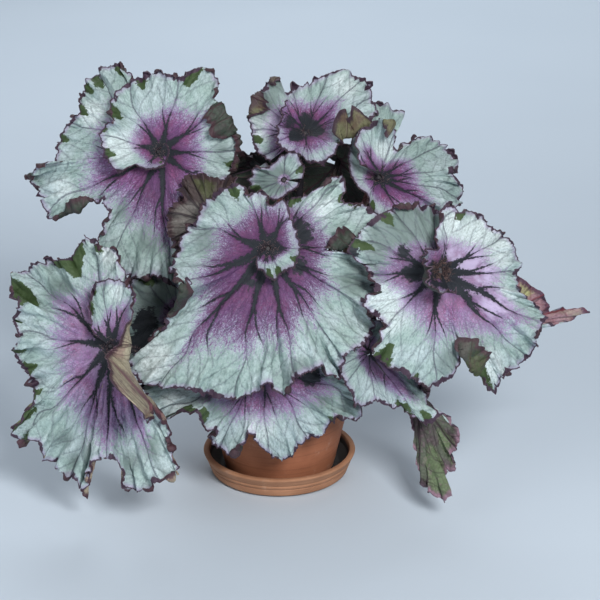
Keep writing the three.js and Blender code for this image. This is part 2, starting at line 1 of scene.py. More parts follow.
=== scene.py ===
# A rex begonia with spiral leaves in a clay pot on a clay saucer: the fine model, built round the
# plain solids. All sizes in this file are millimetres unless a comment says otherwise, and meshes
# are written in metres. The frame is the solids' own: +Z up, the plant's front faces -Y, and the
# origin is the centre of the saucer's underside.
#
# Each blade is a sheet that winds round the top of its stalk. A place on it is given by how many
# degrees it has turned and by the share of the way from the stalk to the margin. The margin, the
# veins, the purple flush and the green spots of a leaf are pixels of the 600 x 600 photograph.

import logging
import math
from dataclasses import dataclass
from enum import Enum
from typing import Sequence

import bpy
import numpy as np
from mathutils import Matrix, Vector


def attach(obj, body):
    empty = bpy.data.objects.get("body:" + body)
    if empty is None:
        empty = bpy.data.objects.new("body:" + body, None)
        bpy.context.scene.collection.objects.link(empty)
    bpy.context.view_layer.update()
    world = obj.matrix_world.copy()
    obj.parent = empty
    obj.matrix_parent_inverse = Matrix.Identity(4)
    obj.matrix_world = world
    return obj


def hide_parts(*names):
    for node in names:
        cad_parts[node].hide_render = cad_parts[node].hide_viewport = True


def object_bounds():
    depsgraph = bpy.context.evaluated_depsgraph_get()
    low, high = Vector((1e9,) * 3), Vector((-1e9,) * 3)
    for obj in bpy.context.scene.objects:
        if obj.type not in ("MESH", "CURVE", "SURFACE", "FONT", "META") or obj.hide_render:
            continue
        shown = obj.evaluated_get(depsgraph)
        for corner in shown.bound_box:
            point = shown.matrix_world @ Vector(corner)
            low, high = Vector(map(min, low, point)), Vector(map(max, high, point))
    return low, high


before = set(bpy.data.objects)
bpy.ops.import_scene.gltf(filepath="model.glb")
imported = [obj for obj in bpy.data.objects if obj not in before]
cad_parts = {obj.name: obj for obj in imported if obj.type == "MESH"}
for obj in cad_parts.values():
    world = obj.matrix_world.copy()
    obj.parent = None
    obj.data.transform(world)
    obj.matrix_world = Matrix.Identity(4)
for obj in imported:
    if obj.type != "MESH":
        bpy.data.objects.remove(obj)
CAD_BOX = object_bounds()

MM = 0.001
log = logging.getLogger("begonia")

Array = np.ndarray
Piece = bpy.types.Object
Material = bpy.types.Material
Tree = bpy.types.NodeTree
Socket = bpy.types.NodeSocket
Colour = tuple[int, int, int]  # red, green and blue as a screen shows them, 0 to 255
Rows = tuple[tuple[float, ...], ...]


class UnderTone(Enum):
    """The look of a leaf's underside."""

    OLIVE = "olive"
    CREAM = "cream"
    MOSS = "moss"
    ROSY = "rosy"
    BUFF = "buff"
    FERN = "fern"


class Side(Enum):
    """The three surfaces of a blade, by their material slot."""

    UPPER = 0
    UNDER = 1
    RIM = 2


# ---- Leaves ----


@dataclass(frozen=True)
class Leaf:
    """One leaf, measured on the photograph, or placed on the far side."""

    name: str
    hub: tuple[float, ...]  # pixel of the stalk's top, or its place in mm where depth is None
    depth: float | None  # the hub's Y
    faces: tuple[float, float]  # azimuth and elevation of the upper side, azimuth 0 to the front
    hand: int  # 1 winds anticlockwise, -1 clockwise
    coil: float  # how far the sheet drops in a turn
    foot: tuple[float, float]  # where the stalk stands in the soil
    way: Rows = ()  # points that the stalk passes
    tone: UnderTone = UnderTone.OLIVE
    size: float = 0.0  # reach in mm on the far side
    margin: Rows = ()  # (across, down, tilt, curl), or (turned, reach, tilt, curl) on the far side
    veins: Rows = ()  # a main vein runs from the hub toward each of these pixels
    flush: Rows = ()  # pixels on the outer edge of the purple flush
    green: Rows = ()  # pixel and size of each green wedge at the margin
    slate_and_shade_blots: Rows = ()  # pixel and radius of each slate blot: the leaf's own dark clots and hub, and painted shade in cups, gaps and shaded leaves
    dull: Rows = ()  # pixel and radius of each stretch of painted shade: grey-green on the upper side, the spot colour on the underside
    bright: Rows = ()  # pixel and radius of each stretch of painted highlight
    folds: Rows = ()  # pixel on the margin, half the fold's width, how far it turns over, its angle
    pleat: float = 1.0  # how deeply the blade is pleated
    frill: float = 1.0  # how strongly its margin is frilled
    vigour: float = 1.0  # how broad its slate veins are
    stain: float = 1.0  # how deep its flush is: 0 the palest, 2 the deepest
    tuft: int = 0  # how many hairs stand in its hub
    shaggy: bool = False  # whether those are coarse and brown
    shade: float = 14.0  # how far down from its top the stalk is painted dark, as shade under its blade


LEAF_01 = Leaf(
    name="leaf_01", hub=(268, 249), depth=-95, faces=(0, 30), hand=1, coil=9, foot=(-6, -34),
    way=((-8, -58, 200),), vigour=1.3, stain=1.85, tuft=150,
    margin=((256, 258, 25, 10), (262, 272, 18, 10), (273, 279, 14, 8), (284, 273, 12, 0), (299, 258, 10, 0),
        (299, 240, 8, 0), (290, 218, 4, 5), (284, 200, 2, 0), (271, 205, 0, 10), (263, 193, 0, -10),
        (249, 195, 0, 5), (239, 184, 0, -15), (213, 194, -2, -20), (200, 216, -3, -15), (181, 243, -4, -25),
        (176, 261, -4, -20), (176, 276, 0, 50), (182, 291, 0, 60), (174, 306, -3, 20), (152, 326, -5, -15),
        (133, 346, -5, -25), (129, 370, -5, -25), (146, 384, -5, -20), (190, 390, -5, -15),
        (232, 398, -6, -20), (260, 391, -6, -10), (271, 384, -6, 5), (285, 396, -6, -15), (291, 381, -6, 10),
        (322, 366, -6, 10), (338, 378, -7, -20), (343, 357, -7, 5), (376, 326, -8, -25), (364, 304, -8, 0),
        (376, 292, -8, -20), (374, 262, -7, -10), (350, 254, -6, 0), (326, 250, -6, 0), (349, 243, -6, 0),
        (377, 240, -7, -10), (379, 223, -8, -15), (361, 203, -6, -10), (344, 203, -5, 10),
        (342, 175, -4, -15), (318, 188, -4, 0), (299, 197, -4, 0), (287, 200, -5, 0)),
    veins=((276, 262), (281, 218), (255, 205), (222, 234), (212, 272), (187, 345), (245, 342), (287, 336),
        (314, 320), (337, 290), (352, 240), (342, 180)),
    flush=((261, 259), (276, 256), (288, 232), (272, 205), (253, 211), (237, 218), (223, 229), (212, 250),
        (204, 268), (203, 300), (200, 324), (186, 345), (221, 344), (255, 341), (289, 334), (306, 316),
        (319, 300), (328, 283), (324, 266), (325, 232), (307, 214)),
    green=((270, 272, 6), (279, 268, 5), (268, 202, 4), (236, 195, 5), (291, 201, 6), (347, 199, 6),
        (293, 258, 5), (250, 192, 3)),
    slate_and_shade_blots=((303, 234, 13), (270, 246, 14), (300, 264, 10), (299, 222, 7), (251, 283, 7)),
    bright=((155, 360, 18), (322, 205, 12)),
    dull=((352, 282, 14), (300, 375, 16), (205, 240, 14)),
    folds=((338, 246, 15, 24, 162), (376, 229, 10, 10, 160), (177, 294, 16, 17, 164)),
)
LEAF_02 = Leaf(
    name="leaf_02", hub=(160, 152), depth=-5, faces=(-10, 20), hand=-1, coil=9, foot=(-30, 2),
    way=((-62, 14, 210),), stain=1.35, tuft=110,
    margin=((165, 144, 15, 10), (168, 157, 20, 10), (160, 168, 20, 10), (148, 169, 15, 10),
        (137, 166, 12, 5), (119, 170, 10, 0), (107, 160, 8, 5), (102, 146, 6, 0), (101, 130, 5, -5),
        (112, 121, 4, 15), (111, 102, 2, -10), (128, 82, 0, -10), (151, 75, 0, -15), (180, 78, 0, 15),
        (202, 66, 0, -20), (220, 84, -4, -25), (213, 97, -4, 0), (229, 119, -4, 0), (238, 140, -6, -15),
        (234, 164, -6, -20), (222, 181, -6, -15), (198, 176, -4, 15), (188, 190, -4, 0), (176, 212, -2, 10),
        (179, 238, -3, -10), (182, 289, -3, -15), (154, 276, -4, 0), (124, 276, -4, -10), (110, 262, -4, 0),
        (99, 242, -5, -15), (119, 221, -4, 10), (100, 198, -5, 0), (75, 209, -6, 0), (50, 220, -8, 0),
        (40, 190, -8, -10), (28, 179, -8, -25), (47, 163, -7, 0), (57, 155, -7, -15), (62, 132, -7, -20),
        (78, 114, -7, -10), (88, 82, -7, -25), (120, 65, -6, -20), (134, 80, -6, 0), (150, 95, -6, 0)),
    veins=((163, 163), (132, 142), (140, 115), (172, 100), (197, 122), (200, 154), (197, 182), (166, 240),
        (135, 205), (95, 183), (90, 160), (80, 125), (110, 95)),
    flush=((146, 158), (134, 136), (148, 116), (172, 111), (197, 116), (200, 149), (203, 169), (181, 205),
        (166, 239), (147, 225), (127, 203), (92, 182), (88, 174), (98, 150)),
    green=((118, 114, 6), (112, 152, 5), (143, 85, 5), (160, 163, 4), (93, 92, 4), (122, 74, 4),
        (101, 88, 4), (64, 138, 5), (84, 112, 5), (190, 82, 6), (102, 131, 5), (228, 165, 4)),
    slate_and_shade_blots=((158, 148, 11), (166, 150, 9)),
    bright=((118, 145, 16), (95, 112, 16), (62, 190, 12)),
    dull=((150, 240, 16), (128, 212, 12), (155, 205, 24), (158, 222, 14), (224, 150, 8)),
    folds=((225, 116, 22, 31, 168), (238, 142, 17, 9, 160), (230, 166, 13, 8, 160), (75, 209, 26, 15, 165),
        (204, 68, 8, 7, 160), (37, 172, 10, 8, 160)),
)
LEAF_03 = Leaf(
    name="leaf_03", hub=(305, 134), depth=5, faces=(4, 34), hand=1, coil=10, foot=(6, 6),
    way=((16, 30, 230),), tone=UnderTone.MOSS, vigour=0.5, stain=1.2, tuft=60, shade=90.0,
    margin=((287, 99, 35, -20), (281, 118, 40, -15), (277, 138, 45, -30), (283, 151, 45, -40),
        (296, 152, 45, -35), (312, 163, 45, -40), (326, 161, 45, -40), (337, 148, 48, -30),
        (341, 140, 34, 0), (356, 132, 18, 0), (373, 119, 4, 0), (374, 101, -5, -20), (364, 80, -10, -10),
        (343, 70, -10, -10), (320, 78, -10, 0), (301, 86, -8, 0), (286, 93, -5, 0), (276, 78, -5, 15),
        (256, 98, -6, 0), (249, 118, -8, 10), (252, 133, -8, -10), (254, 147, -8, 0), (270, 161, -8, -10)),
    veins=((283, 140), (305, 160), (333, 140), (350, 108), (355, 85), (325, 85), (295, 95), (265, 105),
        (258, 130)),
    flush=((287, 103), (285, 133), (290, 146), (302, 148), (325, 146), (331, 129), (336, 115), (338, 103),
        (312, 103), (287, 101), (272, 115), (270, 140)),
    green=((262, 138, 4),),
    slate_and_shade_blots=((306, 124, 15), (298, 134, 12), (316, 130, 11), (292, 122, 8)),
    dull=((260, 100, 20), (274, 84, 12), (290, 128, 8)),
    bright=((262, 126, 16), (345, 84, 12)),
    folds=((346, 137, 9, 31, 108), (356, 132, 19, 25, 112), (255, 104, 17, 27, 168), (275, 80, 8, 14, 165)),
)
LEAF_04 = Leaf(
    name="leaf_04", hub=(378, 178), depth=-30, faces=(24, 30), hand=-1, coil=10, foot=(24, 4),
    way=((62, 6, 220),), tone=UnderTone.MOSS, vigour=0.6, stain=1.0, tuft=70,
    margin=((366, 166, 25, 10), (356, 151, 20, 0), (359, 132, 12, 0), (374, 122, 10, 0), (386, 120, 5, 60),
        (396, 135, 5, 30), (396, 149, 10, 0), (413, 140, -5, -10), (429, 137, -8, -15), (447, 149, -8, -20),
        (458, 166, -8, -20), (452, 172, -8, 0), (462, 193, -10, -20), (460, 205, -10, -15),
        (448, 205, -10, 0), (440, 219, -12, -20), (419, 209, -10, 10), (396, 221, -10, -15),
        (376, 214, -10, -10), (366, 194, -8, 0), (350, 172, -8, -10), (352, 140, -10, -15),
        (362, 115, -10, -10), (379, 104, -10, -20), (403, 115, -10, -10)),
    veins=((368, 150), (390, 150), (430, 150), (450, 168), (440, 190), (425, 205), (395, 205), (372, 195),
        (360, 130), (392, 112)),
    flush=((364, 152), (371, 147), (379, 158), (386, 163), (410, 163), (416, 182), (428, 203), (403, 206),
        (387, 208), (374, 189)),
    green=((374, 205, 4), (398, 150, 4)),
    bright=((384, 152, 10), (360, 150, 6)),
    folds=((390, 126, 12, 22, 165),),
)
LEAF_05 = Leaf(
    name="leaf_05", hub=(439, 272), depth=-112, faces=(12, 26), hand=-1, coil=10, foot=(34, -18),
    way=((84, -40, 183),), vigour=1.45, stain=0.7, tuft=420, shaggy=True,
    margin=((457, 289, 35, 60), (446, 292, 30, 60), (430, 284, 30, 60), (429, 270, 40, 50),
        (436, 248, 25, 10), (440, 222, 8, 0), (451, 205, 2, -10), (458, 213, 0, 5), (468, 209, -2, -10),
        (489, 226, -4, -15), (503, 236, -4, -20), (518, 258, -5, -20), (516, 288, -5, -10),
        (545, 317, -5, -15), (536, 334, -5, 5), (541, 341, -5, -15), (522, 364, -6, -20),
        (503, 375, -6, -10), (494, 392, -6, -20), (482, 379, -5, -10), (468, 362, -5, 0), (461, 342, -5, 0),
        (457, 369, -6, -10), (433, 386, -6, -20), (405, 375, -6, -15), (372, 353, -6, -15),
        (389, 326, -4, 5), (380, 320, -5, -10), (362, 303, -5, -15), (375, 299, -5, 0), (375, 285, -5, -10),
        (361, 262, -5, -15), (348, 250, -5, 0), (363, 230, -5, -20), (377, 215, -5, 0), (399, 208, -7, 0),
        (425, 206, -9, 0), (446, 214, -9, 0)),
    veins=((446, 285), (452, 225), (480, 250), (490, 272), (500, 300), (500, 330), (437, 330), (407, 300),
        (385, 272), (390, 248), (415, 235)),
    flush=((449, 243), (469, 245), (489, 259), (500, 289), (524, 317), (491, 332), (449, 334), (430, 332),
        (416, 318), (402, 292), (385, 278), (392, 256), (408, 246), (430, 246)),
    green=((462, 216, 5), (388, 352, 9), (370, 247, 5), (392, 222, 5), (417, 376, 4), (477, 215, 3),
        (474, 358, 9)),
    slate_and_shade_blots=((436, 268, 12), (425, 256, 12), (414, 272, 11), (446, 284, 9), (436, 283, 8), (430, 268, 10),
        (428, 284, 9), (440, 290, 8), (404, 250, 8), (354, 249, 9)),
    dull=((404, 232, 36), (422, 222, 30), (384, 262, 20), (450, 362, 14)),
    bright=((382, 310, 24), (488, 244, 30), (487, 370, 18), (456, 228, 16), (484, 276, 20), (466, 256, 18),
        (500, 300, 18)),
    folds=((467, 360, 23, 29, 162), (408, 209, 14, 9, 160)),
)
LEAF_06 = Leaf(
    name="leaf_06", hub=(111, 346), depth=-104, faces=(-12, 24), hand=-1, coil=10, foot=(-36, -26),
    way=((-82, -56, 139),), tone=UnderTone.CREAM, pleat=2.2, vigour=1.2, stain=0.65, tuft=90,
    shade=60.0,
    margin=((98, 337, 25, 10), (90, 316, 15, 0), (90, 301, 10, 0), (98, 281, 8, 0), (120, 280, 8, -5),
        (131, 290, 10, 10), (131, 314, 18, 40), (129, 336, 17, 92), (129, 358, 20, 118), (131, 374, 22, 118),
        (140, 386, 22, 100), (148, 398, 18, 72), (154, 409, 8, 20), (162, 414, 0, 10), (169, 444, -4, -10),
        (177, 475, -6, -15), (158, 482, -6, 0), (137, 490, -6, -15), (146, 476, -5, 0), (130, 460, -5, 5),
        (102, 458, -5, 10), (90, 471, -5, 0), (95, 500, -7, -15), (74, 477, -6, -10), (45, 458, -6, -15),
        (38, 443, -5, -5), (11, 434, -6, -20), (28, 424, -5, -10), (36, 404, -4, -5), (33, 381, -4, -15),
        (13, 350, -5, -20), (20, 337, -4, 0), (14, 320, -4, -20), (19, 304, -4, 0), (11, 279, -6, -20),
        (43, 263, -6, -20), (70, 257, -5, -5), (87, 238, -6, -20), (99, 246, -6, 0), (119, 254, -6, -10),
        (124, 272, -6, 0), (136, 300, -8, 0)),
    veins=((118, 320), (104, 295), (128, 380), (143, 440), (108, 432), (85, 425), (64, 392), (58, 338),
        (56, 297), (95, 262)),
    flush=((103, 325), (124, 307), (140, 400), (144, 435), (128, 428), (103, 439), (84, 416), (65, 398),
        (63, 379), (59, 344), (56, 333), (58, 302), (80, 293)),
    green=((73, 266, 12), (58, 264, 6), (30, 299, 10), (31, 367, 8), (19, 321, 6), (95, 289, 6),
        (93, 311, 5), (22, 349, 5), (99, 250, 5), (28, 434, 7), (36, 392, 5), (33, 410, 4)),
    dull=((154, 406, 9), (58, 288, 14), (150, 450, 10), (88, 452, 9), (63, 440, 8), (133, 462, 9),
        (72, 462, 7)),
    bright=((92, 442, 8), (112, 254, 12), (115, 292, 8)),
    folds=((172, 470, 12, 10, 165), (144, 396, 16, 12, 10)),
)
LEAF_07 = Leaf(
    name="leaf_07", hub=(262, 362), depth=-97, faces=(5, 12), hand=-1, coil=9, foot=(-8, -56),
    vigour=0.6, stain=0.8,
    margin=((240, 345, 10, 5), (262, 328, 5, 0), (300, 335, 5, 0), (335, 360, 2, 0), (350, 384, 0, -10),
        (359, 420, -3, -20), (336, 414, -3, 0), (325, 432, -4, -15), (300, 443, -4, -10),
        (290, 458, -5, -20), (262, 448, -4, -10), (250, 433, -4, 10), (240, 444, -4, 0), (236, 456, -5, -15),
        (211, 440, -5, -10), (218, 433, -4, 5), (204, 426, -4, -5), (196, 412, -3, 15), (181, 420, -4, -10),
        (166, 426, -5, -15), (146, 396, -4, -10), (143, 372, -4, -10), (160, 350, -5, -10),
        (200, 330, -6, -10), (245, 318, -6, -10)),
    veins=((300, 345), (335, 395), (305, 430), (268, 432), (228, 430), (180, 405), (190, 360), (230, 335)),
    flush=((300, 350), (325, 392), (300, 405), (270, 416), (228, 412), (205, 385), (210, 360)),
    green=((194, 418, 10), (204, 417, 7), (330, 420, 4)),
    slate_and_shade_blots=((312, 378, 12),),
    bright=((260, 430, 16), (180, 402, 14)),
    dull=((222, 402, 16), (322, 396, 16), (346, 406, 10)),
)
LEAF_08 = Leaf(
    name="leaf_08", hub=(368, 352), depth=-96, faces=(18, 16), hand=1, coil=9, foot=(30, -42),
    vigour=0.25, stain=0.7,
    margin=((352, 336, 10, 5), (340, 356, 8, 0), (342, 378, 4, -5), (350, 391, 0, -10), (361, 406, -2, -15),
        (376, 401, -2, 0), (390, 406, -3, -15), (406, 410, 0, -5), (412, 424, 4, 0), (424, 428, 5, 0),
        (439, 416, 4, 0), (430, 403, 0, 0), (418, 385, -5, -5), (414, 360, -5, -10), (400, 335, -5, -10),
        (378, 320, -6, -10), (355, 322, -7, -5)),
    veins=((356, 375), (375, 390), (402, 398), (425, 412), (400, 360), (375, 330)),
    flush=((360, 353), (361, 360), (366, 366), (380, 380), (400, 394), (416, 400), (402, 374), (384, 352)),
    green=((398, 404, 4), (424, 412, 4)),
)
LEAF_09 = Leaf(
    name="leaf_09", hub=(416, 392), depth=-50, faces=(165, -34), hand=-1, coil=8, foot=(42, -28),
    way=((88, -44, 147),), tone=UnderTone.FERN,
    margin=((422, 396, 5, 0), (416, 376, 0, 0), (402, 385, 0, 0), (406, 410, 0, 0), (415, 432, 0, 10),
        (414, 452, 0, 10), (421, 472, 0, 5), (437, 497, 0, -5), (446, 501, 0, -10), (444, 484, 0, 0),
        (443, 471, 0, 5), (454, 468, 0, 10), (453, 460, 0, 5), (443, 458, 0, -5), (457, 446, 0, 15),
        (459, 431, 0, 20), (447, 424, 0, 10), (432, 412, -5, 0)),
    veins=((420, 445), (432, 470), (444, 495), (450, 440)),
    green=((430, 450, 7), (440, 432, 6)),
)
LEAF_10 = Leaf(
    name="leaf_10", hub=(490, 330), depth=-60, faces=(186, -10), hand=1, coil=8, foot=(48, -6),
    way=((124, -66, 172),), tone=UnderTone.ROSY, frill=0.3, pleat=2.2,
    margin=((488, 308, 5, 0), (500, 292, 0, 0), (514, 274, 0, 0), (530, 285, 0, 5), (545, 296, 0, 10),
        (550, 311, 0, 10), (561, 300, 0, 10), (575, 302, 0, 0), (590, 305, 0, -5), (578, 311, 0, 0),
        (567, 318, 0, 10), (552, 315, 0, 10), (540, 320, 0, 5), (522, 336, 0, 0), (505, 352, -5, 0),
        (484, 350, -5, 0), (472, 335, -5, 0), (478, 312, -5, 0)),
    veins=((540, 298), (570, 308), (520, 322), (500, 285)),
    green=((522, 296, 8),),
)
LEAF_11 = Leaf(
    name="leaf_11", hub=(178, 318), depth=-44, faces=(-15, 25), hand=-1, coil=8, foot=(-44, -8),
    margin=((176, 308, 10, 0), (190, 300, 8, 0), (200, 312, 5, 0), (197, 330, 0, 0), (185, 350, -2, -10),
        (156, 366, -4, -15), (128, 362, -4, -15), (122, 310, -4, -10), (139, 272, -4, 10),
        (150, 262, -4, -10), (172, 272, -5, 0), (184, 286, -6, 0)),
    veins=((192, 315), (170, 338), (145, 325), (150, 290)),
    flush=((186, 322), (170, 330), (160, 315)),
    green=((190, 340, 7), (150, 282, 5)),
    slate_and_shade_blots=((143, 322, 16), (138, 345, 18)),
    dull=((160, 285, 30), (180, 310, 20)),
)
LEAF_12 = Leaf(
    name="leaf_12", hub=(284, 180), depth=-52, faces=(-6, 26), hand=-1, coil=8, foot=(8, -16),
    shade=70.0, pleat=5.0, vigour=0.02, stain=0.0, tuft=70,
    margin=((300, 183, 10, 10), (290, 192, 8, 0), (275, 200, 5, 0), (262, 198, 0, -10), (251, 190, 0, -15),
        (250, 178, 0, -10), (256, 165, 0, 0), (268, 168, 0, 10), (277, 160, -2, -10), (292, 151, -4, -10),
        (302, 162, -5, -10), (303, 178, -6, 0)),
    veins=((285, 192), (262, 188), (262, 172), (285, 162), (296, 170)),
    flush=((283, 182), (283, 179), (285, 179)),
    green=((256, 188, 4), (300, 170, 4)),
    dull=((276, 178, 20),),
)
LEAF_13 = Leaf(
    name="leaf_13", hub=(212, 222), depth=-44, faces=(172, -20), hand=-1, coil=8, foot=(-18, -14),
    tone=UnderTone.BUFF, pleat=3.2, frill=1.5,
    margin=((222, 235, 5, 0), (232, 215, 0, 0), (234, 190, 0, 0), (236, 176, 0, 5), (222, 180, 0, 10),
        (205, 175, 0, 0), (184, 178, 0, 10), (184, 198, 0, 0), (168, 214, 0, 10), (170, 238, 0, 0),
        (178, 256, 0, 5), (205, 256, -5, 0)),
    veins=((225, 185), (195, 186), (182, 215), (195, 205)),
    green=((205, 190, 11),),
    dull=((181, 220, 19),),
)
SHOWN_LEAVES = (
    LEAF_01, LEAF_02, LEAF_03, LEAF_04, LEAF_05, LEAF_06, LEAF_07, LEAF_08, LEAF_09, LEAF_10,
    LEAF_11, LEAF_12, LEAF_13,
)
FAR_LEAVES = tuple(
    Leaf(f"leaf_{number}", hub, None, faces, hand, coil=9, foot=foot, size=size)
    for number, hub, faces, hand, size, foot in (
        (14, (0, 104, 272), (180, 28), 1, 76, (2, 30)),
        (15, (126, 60, 244), (112, 24), -1, 78, (36, 24)),
        (16, (-124, 58, 226), (-114, 22), 1, 76, (-34, 22)),
        (17, (62, 108, 158), (150, 12), -1, 60, (22, 46)),
        (18, (-62, 106, 154), (-152, 12), 1, 60, (-22, 46)),
        (19, (58, 54, 304), (158, 40), 1, 60, (22, 16)),
        (20, (-52, 54, 292), (-156, 38), -1, 56, (-16, 16)),
    )
)
FAR_MARGIN = (
    (0, 0.12, 20, 10), (40, 0.22, 15, 5), (80, 0.26, 12, 0), (120, 0.34, 8, 0),
    (160, 0.46, 5, 0), (190, 0.54, 2, -10), (210, 0.5, 0, 5), (235, 0.66, 0, -15),
    (258, 0.6, -2, 5), (285, 0.76, -4, -20), (305, 0.68, -4, 5), (330, 0.9, -5, -20),
    (352, 0.82, -5, 5), (376, 1.12, -6, -20), (396, 1.02, -6, 0), (418, 1.28, -6, -25),
    (440, 1.04, -6, 0), (462, 1.1, -6, -20), (484, 0.84, -6, 5), (508, 0.92, -6, -20),
    (530, 0.72, -6, 0), (552, 0.78, -6, -15),
)

SHORTEST_SPOKE = 12.0
LEAST_TURN = 2.0  # degrees between two points of a margin
BEND_FROM = 0.25  # where a spoke starts to bend, as a share of its length
BEND_SPAN = 0.6
PROFILE_STEPS = 16
PLACE_STEPS = 20
SWEEP_ROUNDS = 4
HEIGHT_ROUNDS = 12
FOLD_BACK = 80.0  # past this curl a margin point is the farthest out that its spoke gets
FAR_START = -150.0
VEIN_STEP = 34.0  # degrees between the veins that no pixel gives
NARROW_GAP = 10.0
WIDE_GAP = 75.0
FAR_OUTSIDE = -9.0  # the depth of a place that lies in no spot
FOOT_RISE = 11.0
HOLE_DEPTH = 12.0
BOX_MARGIN = 0.7
BOX_SOFTNESS = 2.2
SHARPEST = 32.0  # degrees, past which an edge of turned clay stays sharp


# ---- Small sums ----


def srgb(colour: Colour) -> tuple[float, ...]:
    """A screen colour as the linear colour that a shader takes, with full alpha."""
    parts = [channel / 255 for channel in colour]
    lit = [c / 12.92 if c <= 0.04045 else ((c + 0.055) / 1.055) ** 2.4 for c in parts]
    return (*lit, 1.0)


def ease(value: Array, low: float, high: float) -> Array:
    """A smooth step of a value, from 0 at low to 1 at high."""
    share = np.clip((value - low) / (high - low), 0.0, 1.0)
    return share * share * (3 - 2 * share)


def through(at: Array, known: Array, values: Array) -> Array:
    """A smooth curve through known values that doesn't overshoot between them.

    Args:
        at: where the curve is read.
        known: rising places where it is known.
        values: its values there.

    Returns:
        The curve's values.
    """
    gap = np.diff(known)
    slope = np.diff(values) / gap
    bend = np.zeros_like(values)
    agree = slope[:-1] * slope[1:] > 0
    ahead, behind = 2 * gap[1:] + gap[:-1], gap[1:] + 2 * gap[:-1]
    safe = np.where(agree, 1.0, np.inf)
    first = np.where(agree, slope[:-1], 1.0)
    second = np.where(agree, slope[1:], 1.0)
    bend[1:-1] = (ahead + behind) / (ahead / first + behind / second) / safe
    bend[0], bend[-1] = slope[0], slope[-1]
    i = np.clip(np.searchsorted(known, at) - 1, 0, len(gap) - 1)
    t = (at - known[i]) / gap[i]
    t2, t3 = t * t, t * t * t
    start = (2 * t3 - 3 * t2 + 1) * values[i] + (t3 - 2 * t2 + t) * gap[i] * bend[i]
    return start + (3 * t2 - 2 * t3) * values[i + 1] + (t3 - t2) * gap[i] * bend[i + 1]


def unit(vector: Array) -> Array:
    """A vector, or each row of an array of vectors, at length 1."""
    return vector / np.linalg.norm(vector, axis=-1, keepdims=True)


# ---- The photograph's camera ----


@dataclass(frozen=True)
class Sight:
    """The camera that took the photograph."""

    place: tuple[float, float, float] = (20.5, -1799.6, 888.4)
    pitch: float = 21.5
    focal: float = 2000.0
    side: float = 600.0  # of the photograph, in pixels

    @property
    def centre(self) -> float:
        """The middle of the photograph, in pixels from its edge."""
        return self.side / 2

    def ray(self, across: float, down: float) -> Array:
        """The direction in which the camera sees a pixel.

        Args:
            across: the pixel's column.
            down: its row.

        Returns:
            The direction, of length 1 along the camera's own.
        """
        pitch = math.radians(self.pitch)
        right = (across - self.centre) / self.focal
        up = (self.centre - down) / self.focal
        y = math.cos(pitch) + up * math.sin(pitch)
        return np.array([right, y, -math.sin(pitch) + up * math.cos(pitch)])

    def at_depth(self, across: float, down: float, y: float) -> Array:
        """The place at a given Y that a pixel shows."""
        line = self.ray(across, down)
        return np.array(self.place) + line * ((y - self.place[1]) / line[1])

    def pixels(self, points: Array) -> tuple[Array, Array]:
        """Where places show in the photograph.

        Args:
            points: places, one a row.

        Returns:
            Their pixels, one a row, and how far each place is from the camera.
        """
        pitch = math.radians(self.pitch)
        away = points - np.array(self.place)
        forward = away @ np.array([0.0, math.cos(pitch), -math.sin(pitch)])
        rise = away @ np.array([0.0, math.sin(pitch), math.cos(pitch)])
        across = self.centre + self.focal * away[:, 0] / forward
        down = self.centre - self.focal * rise / forward
        return np.stack([across, down], axis=1), forward


# ---- The winding sheet of a leaf ----


@dataclass
class Spoke:
    """One measured line from the hub to the margin."""

    turned: float
    length: float
    tilt: float
    curl: float


def spoke_run(tilt: float, curl: float) -> tuple[float, float, float, float]:
    """How far a spoke of unit length runs.

    Args:
        tilt: how steeply it leaves the hub, in degrees.
        curl: how much it bends toward its upper side, in degrees.

    Returns:
        How far out it ends, how high it ends, and the same two at its farthest out.
    """
    out = rise = far_out = far_rise = 0.0
    for i in range(PROFILE_STEPS):
        along = (i + 0.5) / PROFILE_STEPS
        x = min(max((along - BEND_FROM) / BEND_SPAN, 0.0), 1.0)
        angle = math.radians(tilt + curl * x * x * (3 - 2 * x))
        out += math.cos(angle) / PROFILE_STEPS
        rise += math.sin(angle) / PROFILE_STEPS
        if out > far_out:
            far_out, far_rise = out, rise
    return out, rise, far_out, far_rise


